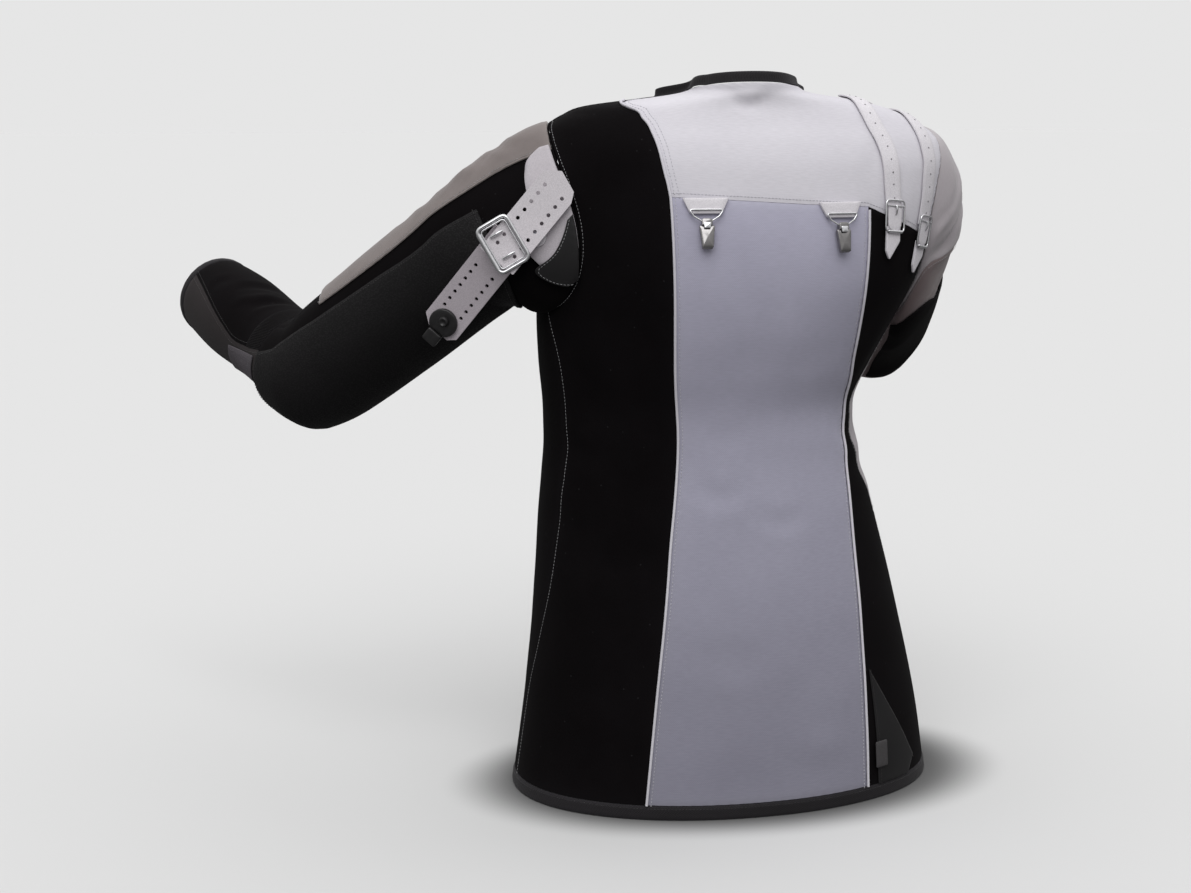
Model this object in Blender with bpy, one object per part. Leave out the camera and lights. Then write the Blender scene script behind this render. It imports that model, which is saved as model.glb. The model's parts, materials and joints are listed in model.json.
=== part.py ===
"""Shooting jacket, filled out as it is worn, as a hollow garment.

Metres, +Z up. The origin is the centre of the neck opening, where the wearer holds the jacket up.
+X is the wearer's left, -Y the front. Heights on the body are given as "down" from the origin, and
places round the body as an angle in degrees from the back centre towards the wearer's left.
"""

import math

import bmesh
import bpy
import numpy as np

# Driving sizes of the cloth
CANVAS = 0.0022
SUEDE = 0.0016
RUBBER = 0.0030
SEAM = 0.0003
LAID = 0.0009
HEM_DOWN = 0.720
HEM_BAND = 0.014
UNDERARM_DOWN = 0.232
PANEL_HEM = HEM_DOWN - HEM_BAND - SEAM
STEP = 0.00002

# Sections of the body, from the neck to the hem
BODY_COLUMNS = ("down", "left", "right", "back", "front", "shift_x", "shift_y", "square")
BODY = (
    (0.008, 0.056, 0.056, 0.058, 0.054, 0.000, 0.000, 2.0),
    (0.018, 0.054, 0.058, 0.060, 0.056, 0.000, 0.000, 2.0),
    (0.024, 0.058, 0.068, 0.060, 0.056, 0.000, 0.000, 2.1),
    (0.031, 0.110, 0.112, 0.060, 0.055, -0.001, 0.000, 2.2),
    (0.038, 0.160, 0.143, 0.062, 0.056, -0.003, 0.000, 2.3),
    (0.046, 0.182, 0.165, 0.067, 0.059, -0.004, 0.000, 2.4),
    (0.055, 0.198, 0.181, 0.074, 0.064, -0.005, 0.000, 2.4),
    (0.068, 0.206, 0.197, 0.085, 0.073, -0.005, 0.000, 2.4),
    (0.085, 0.209, 0.206, 0.096, 0.084, -0.004, 0.000, 2.4),
    (0.115, 0.206, 0.206, 0.108, 0.102, -0.001, 0.000, 2.4),
    (0.150, 0.200, 0.202, 0.118, 0.122, 0.003, 0.000, 2.3),
    (0.200, 0.190, 0.193, 0.124, 0.145, 0.009, -0.002, 2.3),
    (0.248, 0.180, 0.180, 0.122, 0.155, 0.020, -0.005, 2.2),
    (0.290, 0.168, 0.168, 0.117, 0.150, 0.029, -0.009, 2.2),
    (0.330, 0.159, 0.159, 0.112, 0.138, 0.035, -0.012, 2.1),
    (0.370, 0.161, 0.161, 0.112, 0.130, 0.033, -0.012, 2.1),
    (0.434, 0.172, 0.172, 0.118, 0.126, 0.028, -0.008, 2.1),
    (0.540, 0.189, 0.189, 0.132, 0.132, 0.019, -0.002, 2.1),
    (0.648, 0.207, 0.207, 0.141, 0.140, 0.013, 0.000, 2.1),
    (0.720, 0.217, 0.219, 0.144, 0.144, 0.013, 0.000, 2.1),
)

# Seams of the body: rows of (down, x), of (down, angle) where the seam turns over the shoulder
BACK_SEAM_LEFT = ((0.121, 0.098), (0.208, 0.096), (0.292, 0.092), (0.344, 0.087), (0.468, 0.098),
                  (0.612, 0.115), (0.720, 0.126))
BACK_SEAM_RIGHT = ((0.132, -0.098), (0.220, -0.095), (0.424, -0.096), (0.540, -0.099), (0.720, -0.104))
YOKE_LEFT = ((0.031, 90.0), (0.035, 78.0), (0.040, 69.5), (0.050, 63.0), (0.064, 57.0), (0.104, 47.0),
             (0.121, 44.0))
SIDE_SEAM_LEFT = ((0.232, 84.0), (0.280, 77.0), (0.340, 75.0), (0.420, 76.0), (0.500, 79.5),
                  (0.564, 85.0), (0.620, 90.0), (0.720, 91.0))
SIDE_SEAM_RIGHT = ((0.232, -84.0), (0.290, -74.0), (0.340, -70.0), (0.380, -71.0), (0.432, -77.0),
                   (0.500, -82.0), (0.720, -86.0))
YOKE_CORNER_DOWN = {"left": 0.121, "right": 0.132}
YOKE_RIDGE_DOWN = 0.031
SHOULDER_DOWN = {"left": 0.054, "right": 0.060}
ARMHOLE_SWING = {"left": (12.0, 22.0), "right": (18.0, 12.0)}
ARMHOLE_FRONT = {"left": 24.0, "right": 28.0}
NECK_BACK_DOWN = 0.015
NECK_SLOPE = 0.014
NECK_FRONT_DOWN = 0.085
NECK_DROP = 7.0
FRONT_EDGE = 179.7
FRONT_PATCH_DOWN = {"side": 0.435, "middle": 0.390}

# Cells of the cloth grids
HEM_CELLS = 11
CHEST_CELLS = 5
SHOULDER_CELLS = 7
TURN_CELL = 15.0
SIDE_CELLS = 7
FRONT_CELLS = 9
BACK_CELLS = 12
NECK_CELLS = 8

FRONT_PATCH_CELLS = round((PANEL_HEM - FRONT_PATCH_DOWN["side"]) / (PANEL_HEM - UNDERARM_DOWN) * HEM_CELLS)

# Arms: shoulder, elbow and wrist centres, the bend's radius, and rows of (along, half height, half depth)
ARM_POINTS = {
    "left": ((0.206, 0.004, -0.129), (0.407, -0.156, -0.312), (0.4965, -0.356, -0.247)),
    "right": ((-0.178, 0.000, -0.140), (-0.209, -0.180, -0.284), (-0.060, -0.342, -0.250)),
}
ARM_BEND = {"left": 0.064, "right": 0.072}
ARM_HEAD = {"left": 0.085, "right": 0.171}
ARM_HEAD_UNDER = {"left": 0.0, "right": 0.045}
ARM_SIZES = {
    "left": ((0.000, 0.072, 0.068), (0.085, 0.064, 0.063), (0.200, 0.062, 0.063), (0.300, 0.058, 0.060),
             (0.380, 0.046, 0.048), (0.480, 0.0485, 0.0485), (0.560, 0.0415, 0.0415)),
    "right": ((0.000, 0.076, 0.074), (0.070, 0.066, 0.068), (0.150, 0.0625, 0.0635), (0.230, 0.057, 0.057),
              (0.320, 0.051, 0.050), (0.480, 0.044, 0.042)),
}
ELBOW_CORNER = {"left": 0.40, "right": 0.55}
HEAD_ALONG = 0.75
HEAD_SWELL = {"left": 0.35, "right": 0.64}
HEAD_RELEASE = 0.9
CHEST_GAP_START = 0.03
PRESSED_TURNS = (186.0, 346.0)
CHEST_GAP = 0.007


# Sleeves: seams and patches, as rows of (along, turn) or (turn, along)
UNDER_SEAM = {"left": 225.0, "right": 195.0}
UNDER_CELLS = 11
ARM_LIFT = 0.0011
RIGHT_ELBOW_SEAM = 0.300
CUFF_BAND = 0.010
STRIP_END = 0.240
PAD_ENDS = (0.052, 0.340)
STRIP_LOW = ((0.0, 43.0), (0.03, 44.0), (0.062, 49.0), (0.124, 53.0), (0.21, 50.0), (0.24, 47.0))
STRIP_HIGH = ((0.0, -26.0), (0.1, -24.0), (0.262, -8.0))
PAD_TOP = ((0.052, 64.0), (0.07, 69.0), (0.17, 68.0), (0.24, 62.0), (0.315, 58.0), (0.340, 66.0))
PAD_COLUMNS = (75.0, 256.0)
FOREARM_SEAM = ((0.3465, 66.0), (0.376, 75.0), (0.405, 80.0), (0.43, 73.0), (0.48, 56.0), (0.535, 40.0))
FOREARM_FRONT = 250.0
INSET_RIBS = 42
RIB_RISE = 0.0012
LEFT_ROWS = (0.0004, 0.008, 0.018, 0.034, 0.052, 0.068, 0.085, 0.110, 0.135, 0.165, 0.195, 0.230, 0.262,
             0.290, 0.316, 0.340, 0.346)
FOREARM_ROWS = (0.376, 0.396, 0.418, 0.442, 0.470, 0.500)
RIGHT_ROWS = 11
RIGHT_START = 0.0004
RIGHT_CAP_EDGE = ((195.0, 0.016), (250.0, 0.080), (300.0, 0.150), (360.0, 0.140), (400.0, 0.108),
                  (420.0, 0.084), (442.0, 0.055), (460.0, 0.031), (478.0, 0.014), (490.0, 0.009),
                  (520.0, 0.010), (555.0, 0.016))
RIGHT_PAD_START = ((60.0, 0.130), (96.0, 0.112), (114.0, 0.067), (136.0, 0.044), (160.0, 0.038), (184.0, 0.040))
RIGHT_PAD_TURNS = (60.0, 180.0)
RIGHT_PAD_CELLS = 8
RIGHT_PAD_END = 0.222
RIGHT_PAD_LIFT = 0.0012

# Collar, front and back clips
COLLAR_RISE = 0.0105
COLLAR_LEAN = 0.35
COLLAR_GAP = 0.0010
FRONT_BAND_HALF_ANGLE = 8.0
BUTTONS = 5
CLIP_ACROSS = 0.066
TAB_TOP, TAB_FOOT, TAB_HIGH = 0.044, 0.030, 0.015

# Shoulder straps: middle lines as rows of (angle, down), half width
STRAP_LIFT = (0.0018, 0.0014)
SHOULDER_STRAP_HALF = 0.0095
SHOULDER_STRAPS = (
    ((-112.0, 0.056), (-102.0, 0.042), (-90.0, 0.031), (-70.0, 0.036), (-60.0, 0.056), (-55.0, 0.086),
     (-53.0, 0.115), (-52.5, 0.136)),
    ((-100.0, 0.0515), (-95.0, 0.048), (-90.0, 0.0455), (-80.0, 0.050), (-72.0, 0.070), (-68.0, 0.100),
     (-66.5, 0.130), (-66.0, 0.152)),
)

# Sling fittings at the left arm: the middle of each strap's lower and upper end
LOWER_STRAP_ENDS = ((0.3031, 0.0001, -0.2522), (0.2401, 0.0556, -0.1596))
UPPER_STRAP_ENDS = ((0.2552, 0.0575, -0.1816), (0.1890, 0.0664, -0.1013))
ANCHOR_EDGE = ((38.0, 0.004), (46.0, 0.016), (52.0, 0.019), (70.0, 0.024), (90.0, 0.031), (98.0, 0.034),
               (106.0, 0.030))
FLAP_EDGE = ((84.0, 0.004), (100.0, 0.020), (110.0, 0.033), (118.0, 0.026), (126.0, 0.010))
ANCHOR_LIFT = 0.0030
ANCHOR_THICK = 0.0022
SLING_OUT = (0.230, 0.958, 0.172)
SLING_HALF = 0.0200
SLING_THICK = 0.0026
HOLE = 0.0022
HOLE_ROW = 0.0104
BUCKLE_POINT = (0.2501, 0.0628, -0.1650)
BUCKLE_ALONG = (-0.866, 0.118, 0.502)
BUCKLE_WIDE, BUCKLE_LONG = 0.0470, 0.0320
BUCKLE_WIRE = 0.0019
PRONG_WIRE = 0.0012
PRONG_OUT = 0.0115

BLACK = (0.012, 0.012, 0.013)
FINISHES = {
    "black": (BLACK, 0.85, 0),
    "canvas": ((0.32, 0.33, 0.40), 0.8, 0),
    "white": ((0.72, 0.70, 0.74), 0.6, 0),
    "suede": ((0.38, 0.36, 0.35), 0.9, 0),
    "silver": ((0.42, 0.42, 0.41), 0.5, 0),
    "rubber": ((0.015, 0.015, 0.016), 0.7, 0),
    "charcoal": ((0.05, 0.045, 0.045), 0.8, 0),
    "chrome": ((0.75, 0.75, 0.76), 0.15, 1),
    "plastic": ((0.01, 0.01, 0.01), 0.4, 0),
}


def curve(rows, at, column=1):
    """A smooth line through a short table's rows, read at the first column's values."""
    table = np.array(rows, float)
    table = table[np.argsort(table[:, 0])]
    keys, values = table[:, 0], table[:, column]
    slopes = np.gradient(values, keys)
    at = np.clip(np.asarray(at, float), keys[0], keys[-1])
    i = np.clip(np.searchsorted(keys, at) - 1, 0, len(keys) - 2)
    width = keys[i + 1] - keys[i]
    t = (at - keys[i]) / width
    start = (2 * t**3 - 3 * t**2 + 1) * values[i] + (t**3 - 2 * t**2 + t) * width * slopes[i]
    end = (3 * t**2 - 2 * t**3) * values[i + 1] + (t**3 - t**2) * width * slopes[i + 1]
    return start + end


def body_reach(angle, down):
    """The body's middle (x, y) at a height, and how far its cloth lies from there at an angle."""
    turn = np.radians(angle)
    left, right, back, front, shift_x, shift_y, square = (curve(BODY, down, k) for k in range(1, 8))
    across, along = np.sin(turn), np.cos(turn)
    wide = np.where(across > 0, left, right)
    deep = np.where(along > 0, back, front)
    reach = (np.abs(across / wide) ** square + np.abs(along / deep) ** square) ** (-1 / square)
    return shift_x, shift_y, reach


def body(angle, down):
    """Points on the body's cloth."""
    angle, down = np.broadcast_arrays(np.asarray(angle, float), np.asarray(down, float))
    shift_x, shift_y, reach = body_reach(angle, down)
    turn = np.radians(angle)
    return np.stack([shift_x + reach * np.sin(turn), shift_y + reach * np.cos(turn), -down], -1)


def unit(v):
    """The same directions with a length of 1."""
    v = np.asarray(v, float)
    return v / np.linalg.norm(v, axis=-1, keepdims=True)


def outward(surface, u, v, step_u, step_v):
    """The surface's directions straight out of the cloth."""
    du = surface(u + step_u, v) - surface(u - step_u, v)
    dv = surface(u, v + step_v) - surface(u, v - step_v)
    return unit(np.cross(du, dv))


def body_outward(angle, down):
    """Directions straight out of the body's cloth."""
    return outward(body, np.asarray(angle, float), np.asarray(down, float), 0.02, STEP)


def armhole(side, turn):
    """The armhole's (angle, down) at a turn in degrees: 0 at the top, 90 at the back, 180 below."""
    turn = np.radians(turn)
    top = SHOULDER_DOWN[side]
    middle, half = (top + UNDERARM_DOWN) / 2, (UNDERARM_DOWN - top) / 2
    share = (1 + np.cos(turn)) / 2
    above, below = ARMHOLE_SWING[side]
    swing = np.where(np.sin(turn) > 0, below + (above - below) * share, ARMHOLE_FRONT[side])
    angle = 84 + 6 * share - swing * np.sin(turn)
    return (angle if side == "left" else -angle), middle - half * np.cos(turn)


def neck_down(angle):
    """How far down the neck's edge lies, which drops towards the front."""
    share = (1 - np.cos(np.radians(angle))) / 2
    drop = NECK_FRONT_DOWN - NECK_BACK_DOWN - NECK_SLOPE
    return NECK_BACK_DOWN + NECK_SLOPE * share + drop * share**NECK_DROP


def seam_angle(rows, down):
    """The angles at which a back seam, given by its distance across, crosses the body's sections."""
    across = curve(rows, down)
    low, high = np.full(np.shape(down), -89.0), np.full(np.shape(down), 89.0)
    for _ in range(30):
        middle = (low + high) / 2
        beyond = body(middle, down)[..., 0] > across
        low, high = np.where(beyond, low, middle), np.where(beyond, middle, high)
    return (low + high) / 2


class Arm:
    """A sleeve's surface: a turn round the arm in degrees, and a length along it from the armhole."""

    def __init__(self, side):
        self.side = side
        self.sign = 1 if side == "left" else -1
        shoulder, elbow, wrist = (np.array(p) for p in ARM_POINTS[side])
        first, second = unit(elbow - shoulder), unit(wrist - elbow)
        bend = math.acos(first @ second)
        cut = ARM_BEND[side] * math.tan(bend / 2)
        self.start_bend = np.linalg.norm(elbow - shoulder) - cut
        self.end_bend = self.start_bend + ARM_BEND[side] * bend
        self.length = self.end_bend + np.linalg.norm(wrist - elbow) - cut
        self.shoulder, self.first, self.second, self.bend = shoulder, first, second, bend
        self.turned = unit(second - first * (first @ second))

    def path(self, along):
        """The arm's middle line and its direction."""
        along = np.asarray(along, float)
        radius = ARM_BEND[self.side]
        swing = np.clip((along - self.start_bend) / radius, 0, self.bend)[..., None]
        straight = np.minimum(along, self.start_bend)[..., None]
        after = np.maximum(along - self.end_bend, 0)[..., None]
        direction = self.first * np.cos(swing) + self.turned * np.sin(swing)
        point = self.shoulder + self.first * straight
        point = point + radius * (self.first * np.sin(swing) + self.turned * (1 - np.cos(swing)))
        return point + self.second * after, direction

    def ring(self, turn, along):
        """Points on the round part of the sleeve."""
        centre, direction = self.path(along)
        hinge = unit(np.cross(self.first, self.second))
        up = unit(np.array([0, 0, 1.0]) - self.first * self.first[2])
        swing = np.clip((np.asarray(along, float) - self.start_bend) / ARM_BEND[self.side], 0, self.bend)
        swing = swing[..., None]
        up = up * np.cos(swing) + np.cross(hinge, up) * np.sin(swing) + hinge * (hinge @ up) * (1 - np.cos(swing))
        side = np.cross(up, direction) * self.sign
        high, deep = (curve(ARM_SIZES[self.side], along, k)[..., None] for k in (1, 2))
        turn = np.radians(turn)[..., None]
        point = centre + up * np.cos(turn) * high + side * np.sin(turn) * deep
        pivot = self.shoulder + self.first * self.start_bend + self.turned * ARM_BEND[self.side]
        away = np.cos(swing) * self.turned - np.sin(swing) * self.first
        reach = -np.sum((point - pivot) * away, -1, keepdims=True)
        stretch = 1 / np.cos(np.minimum(swing, self.bend - swing)) - 1
        return point - away * reach * stretch * ELBOW_CORNER[self.side]

    def __call__(self, turn, along):
        turn, along = np.broadcast_arrays(np.asarray(turn, float), np.asarray(along, float))
        below = (1 - np.cos(np.radians(turn))) / 2
        head = ARM_HEAD[self.side] + ARM_HEAD_UNDER[self.side] * below**2
        ring = self.ring(turn, np.maximum(along, head))
        start = body(*armhole(self.side, turn))
        end = self.ring(turn, head)
        t = np.clip(along / head, 0, 1)[..., None]
        reach = np.linalg.norm(end - start, axis=-1, keepdims=True)
        out = unit(self.first * HEAD_ALONG + unit(start - self.shoulder) * HEAD_SWELL[self.side])
        pull = (t**3 - 2 * t**2 + t) * out * reach + (t**3 - t**2) * self.first * reach * HEAD_RELEASE
        blend = (2 * t**3 - 3 * t**2 + 1) * start + (3 * t**2 - 2 * t**3) * end + pull
        return self.clear_of_body(turn, along, np.where(t < 1, blend, ring))

    def clear_of_body(self, turn, along, point):
        """The sleeve's points, with those of its inner side pressed out to the chest."""
        down = -point[..., 2]
        shift_x, shift_y, _ = body_reach(0.0, down)
        away = np.stack([point[..., 0] - shift_x, point[..., 1] - shift_y], -1)
        _, _, reach = body_reach(np.degrees(np.arctan2(away[..., 0], away[..., 1])), down)
        inner = (turn % 360 - PRESSED_TURNS[0]) / (PRESSED_TURNS[1] - PRESSED_TURNS[0])
        share = np.sin(np.clip(inner, 0, 1) * math.pi) ** 0.5
        wanted = reach + CHEST_GAP * np.clip(along / CHEST_GAP_START, 0, 1)
        push = np.maximum(wanted / np.linalg.norm(away, axis=-1) - 1, 0) * share
        return point + np.concatenate([away, 0 * away[..., :1]], -1) * push[..., None]

    def outward(self, turn, along):
        """Directions straight out of the sleeve's cloth."""
        turn, along = np.asarray(turn, float), np.asarray(along, float)
        return outward(self, turn, along, 2.0, 0.002) * -self.sign


def material(name, colour, roughness, metallic=0.0):
    """A plain Principled material."""
    made = bpy.data.materials.new(name)
    made.use_nodes = True
    shader = made.node_tree.nodes["Principled BSDF"]
    shader.inputs["Base Color"].default_value = (*colour, 1)
    shader.inputs["Roughness"].default_value = roughness
    shader.inputs["Metallic"].default_value = metallic
    return made


def add(name, verts, faces, finish, smooth=True):
    """One closed solid, with its faces pointing outwards."""
    mesh = bpy.data.meshes.new(name)
    made = bmesh.new()
    points = [made.verts.new(v) for v in verts]
    for face in faces:
        made.faces.new([points[i] for i in face])
    bmesh.ops.recalc_face_normals(made, faces=made.faces)
    made.to_mesh(mesh)
    made.free()
    if smooth:
        mesh.shade_smooth()
        mesh.set_sharp_from_angle(angle=math.radians(40))
    colour, roughness, metallic = FINISHES[finish]
    mesh.materials.append(material(name, colour, roughness, metallic))
    solid = bpy.data.objects.new(name, mesh)
    bpy.context.collection.objects.link(solid)
    return solid


def slab(low, high, closed=False):
    """Points and faces of a wall between two grids of points; closed joins its last column to its first."""
    rows, columns = low.shape[:2]
    count = rows * columns
    verts = np.concatenate([low.reshape(-1, 3), high.reshape(-1, 3)])
    faces = []
    last = columns if closed else columns - 1
    for i in range(rows - 1):
        for j in range(last):
            k = (j + 1) % columns
            a, b, c, d = i * columns + j, i * columns + k, (i + 1) * columns + k, (i + 1) * columns + j
            faces += [(a, b, c, d), (a + count, d + count, c + count, b + count)]
    edge = []
    for j in range(last):
        k = (j + 1) % columns
        edge += [(j, k), ((rows - 1) * columns + k, (rows - 1) * columns + j)]
    if not closed:
        for i in range(rows - 1):
            edge += [((i + 1) * columns, i * columns), (i * columns + columns - 1, (i + 1) * columns + columns - 1)]
    faces += [(b, a, a + count, b + count) for a, b in edge]
    return verts, faces


def coons(bottom, top, left, right):
    """A grid of (angle, down) or (turn, along) between four edges, each an array of such pairs."""
    across = np.linspace(0, 1, len(bottom))[None, :, None]
    up = np.linspace(0, 1, len(left))[:, None, None]
    ruled = (1 - up) * bottom[None] + up * top[None] + (1 - across) * left[:, None] + across * right[:, None]
    corners = (1 - up) * ((1 - across) * bottom[0] + across * bottom[-1])
    corners = corners + up * ((1 - across) * top[0] + across * top[-1])
    return ruled - corners


def pairs(angle, down):
    """(angle, down) pairs from numbers or arrays."""
    return np.stack(np.broadcast_arrays(np.asarray(angle, float), np.asarray(down, float)), -1)


def joined(*edges):
    """One edge from several that follow each other and share their ends."""
    return np.concatenate([edges[0]] + [e[1:] for e in edges[1:]])


def line(start, end, cells):
    """A straight edge in (angle, down), with a number of cells."""
    return np.linspace(start, end, cells + 1)


def seam(rows, start, end, cells):
    """An edge along a back seam."""
    down = np.linspace(start, end, cells + 1)
    return pairs(seam_angle(rows, down), down)


def side_seam(rows, start, end, cells):
    """An edge along a seam given by its angles."""
    down = np.linspace(start, end, cells + 1)
    return pairs(curve(rows, down), down)


def armhole_edge(side, start, end):
    """An edge round the armhole, with a cell for each step of the sleeve."""
    count = round(abs(end - start) / TURN_CELL)
    return pairs(*armhole(side, np.linspace(start, end, count + 1)))


def neck_edge(start, end, cells):
    """An edge along the neck."""
    angle = np.linspace(start, end, cells + 1)
    return pairs(angle, neck_down(angle))


def ridge(sign, start, end, cells):
    """An edge along the top of a shoulder."""
    return line((90.0 * sign, start), (90.0 * sign, end), cells)


def inset(points, gap=SEAM * 0.7):
    """Grid points whose outer rows and columns are drawn in for the seam's gap."""
    made = points.copy()
    for axis in (0, 1):
        near, inner = [slice(None)] * 2, [slice(None)] * 2
        for side, beside in ((0, 1), (-1, -2)):
            near[axis], inner[axis] = side, beside
            made[tuple(near)] += unit(points[tuple(inner)] - points[tuple(near)]) * gap
    return made


def laid(surface, straight_out, grid, low, high):
    """A wall between two heights over a surface, on a grid of the surface's own places."""
    base = inset(surface(grid[..., 0], grid[..., 1]))
    out = straight_out(grid[..., 0], grid[..., 1])
    return slab(base + out * low, base + out * high)


def body_panel(name, finish, bottom, top, left, right, low=-CANVAS, high=0.0):
    """A cloth panel of the body between four edges."""
    return add(name, *laid(body, body_outward, coons(bottom, top, left, right), low, high), finish)


def back_seam(side):
    """A back seam from the hem band to the yoke's corner."""
    rows = {"left": BACK_SEAM_LEFT, "right": BACK_SEAM_RIGHT}[side]
    return joined(seam(rows, PANEL_HEM, UNDERARM_DOWN, HEM_CELLS),
                  seam(rows, UNDERARM_DOWN, YOKE_CORNER_DOWN[side], CHEST_CELLS))


def yoke_left_edge():
    """The yoke's left edge, from its corner over the shoulder blade to the top of the shoulder."""
    share = np.linspace(0, 1, SHOULDER_CELLS + 1)
    down = YOKE_CORNER_DOWN["left"] + (YOKE_RIDGE_DOWN - YOKE_CORNER_DOWN["left"]) * share**0.8
    edge = pairs(curve(YOKE_LEFT, down), down)
    edge[0], edge[-1] = back_seam("left")[-1], (90.0, YOKE_RIDGE_DOWN)
    return edge


def front_edge(sign):
    """The front opening's edge from the hem band to the neck."""
    centre = FRONT_EDGE * sign
    downs = (PANEL_HEM, FRONT_PATCH_DOWN["middle"], UNDERARM_DOWN, neck_down(180.0))
    cells = (FRONT_PATCH_CELLS, HEM_CELLS - FRONT_PATCH_CELLS, round(180 / TURN_CELL) - NECK_CELLS)
    return joined(*(line((centre, a), (centre, b), n) for a, b, n in zip(downs, downs[1:], cells)))


def body_panels():
    """The panels of the back and the fronts."""
    hem = PANEL_HEM
    yoke_turn = 180 - CHEST_CELLS * TURN_CELL
    back_left, back_right, yoke_left = back_seam("left"), back_seam("right"), yoke_left_edge()
    side_left = side_seam(SIDE_SEAM_LEFT, hem, UNDERARM_DOWN, HEM_CELLS)
    side_right = side_seam(SIDE_SEAM_RIGHT, hem, UNDERARM_DOWN, HEM_CELLS)
    yoke_line = line(back_right[-1], back_left[-1], BACK_CELLS)
    body_panel("back_centre", "canvas", line(back_right[0], back_left[0], BACK_CELLS), yoke_line,
               back_right, back_left)
    left_out = joined(side_left, armhole_edge("left", 180, 0))
    top_left = ridge(1, YOKE_RIDGE_DOWN, SHOULDER_DOWN["left"], SIDE_CELLS)
    body_panel("left_side_back", "black", line(back_left[0], side_left[0], SIDE_CELLS), top_left,
               joined(back_left, yoke_left), left_out)
    right_out = joined(side_right, armhole_edge("right", 180, yoke_turn))
    yoke_side = line(right_out[-1], back_right[-1], SIDE_CELLS)
    body_panel("right_side_back", "black", line(side_right[0], back_right[0], SIDE_CELLS), yoke_side,
               right_out, back_right)
    neck_side = neck_down(90.0)
    yoke_top = joined(ridge(-1, SHOULDER_DOWN["right"], neck_side, FRONT_CELLS),
                      neck_edge(-90, 90, 2 * NECK_CELLS),
                      ridge(1, neck_side, YOKE_RIDGE_DOWN, FRONT_CELLS - SIDE_CELLS))
    spare = len(yoke_top) - 1 - BACK_CELLS
    yoke_bottom = joined(line(right_out[-1], back_right[-1], spare), yoke_line)
    body_panel("yoke", "white", yoke_bottom, yoke_top, armhole_edge("right", yoke_turn, 0), yoke_left)
    for side, sign, side_edge in (("left", 1, side_left), ("right", -1, side_right)):
        out = joined(side_edge, armhole_edge(side, 180, 360))
        inner = joined(front_edge(sign), neck_edge(FRONT_EDGE * sign, 90 * sign, NECK_CELLS))
        top = ridge(sign, SHOULDER_DOWN[side], neck_side, FRONT_CELLS)
        if side == "left":
            top = joined(ridge(1, SHOULDER_DOWN[side], YOKE_RIDGE_DOWN, SIDE_CELLS),
                         ridge(1, YOKE_RIDGE_DOWN, neck_side, FRONT_CELLS - SIDE_CELLS))
        bottom = line(out[0], inner[0], FRONT_CELLS)
        grid = coons(bottom, top, out, inner)
        if side == "left":
            add("left_front", *laid(body, body_outward, grid, -CANVAS, 0), "black")
        else:
            add("right_front_lower", *laid(body, body_outward, grid[: FRONT_PATCH_CELLS + 1], -CANVAS, 0), "black")
            add("right_front_upper", *laid(body, body_outward, grid[FRONT_PATCH_CELLS:], -CANVAS, 0), "silver")


def sleeve_panel(name, finish, arm, grid, low=-CANVAS, high=0.0):
    """A piece of a sleeve on a grid of (turn, along)."""
    return add(name, *laid(arm, arm.outward, grid, low, high), finish)


def sleeve_grid(start, end, turns, along_cells):
    """A grid round a sleeve between two edges, each a number or one for every turn."""
    share = np.linspace(0, 1, along_cells + 1)[:, None]
    along = np.broadcast_to(start, turns.shape) * (1 - share) + np.broadcast_to(end, turns.shape) * share
    return pairs(np.broadcast_to(turns, along.shape), along)


def strip_grid(low_turns, high_turns, alongs, cells):
    """A grid along a sleeve between two edges given as rows of (along, turn)."""
    low, high = (curve(rows, alongs) for rows in (low_turns, high_turns))
    share = np.linspace(0, 1, cells + 1)
    turn = low[:, None] * (1 - share) + high[:, None] * share
    return pairs(turn, np.broadcast_to(alongs[:, None], turn.shape))


def rows_between(rows, start, end):
    """The sleeve's own rows between two lengths along it, with both ends."""
    return np.array([start] + [r for r in rows if start + 0.004 < r < end - 0.004] + [end])


def sleeve_turns(side):
    """The turns of a sleeve's grid, once round from its under seam."""
    return np.linspace(UNDER_SEAM[side], UNDER_SEAM[side] + 360, round(360 / TURN_CELL) + 1)


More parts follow.
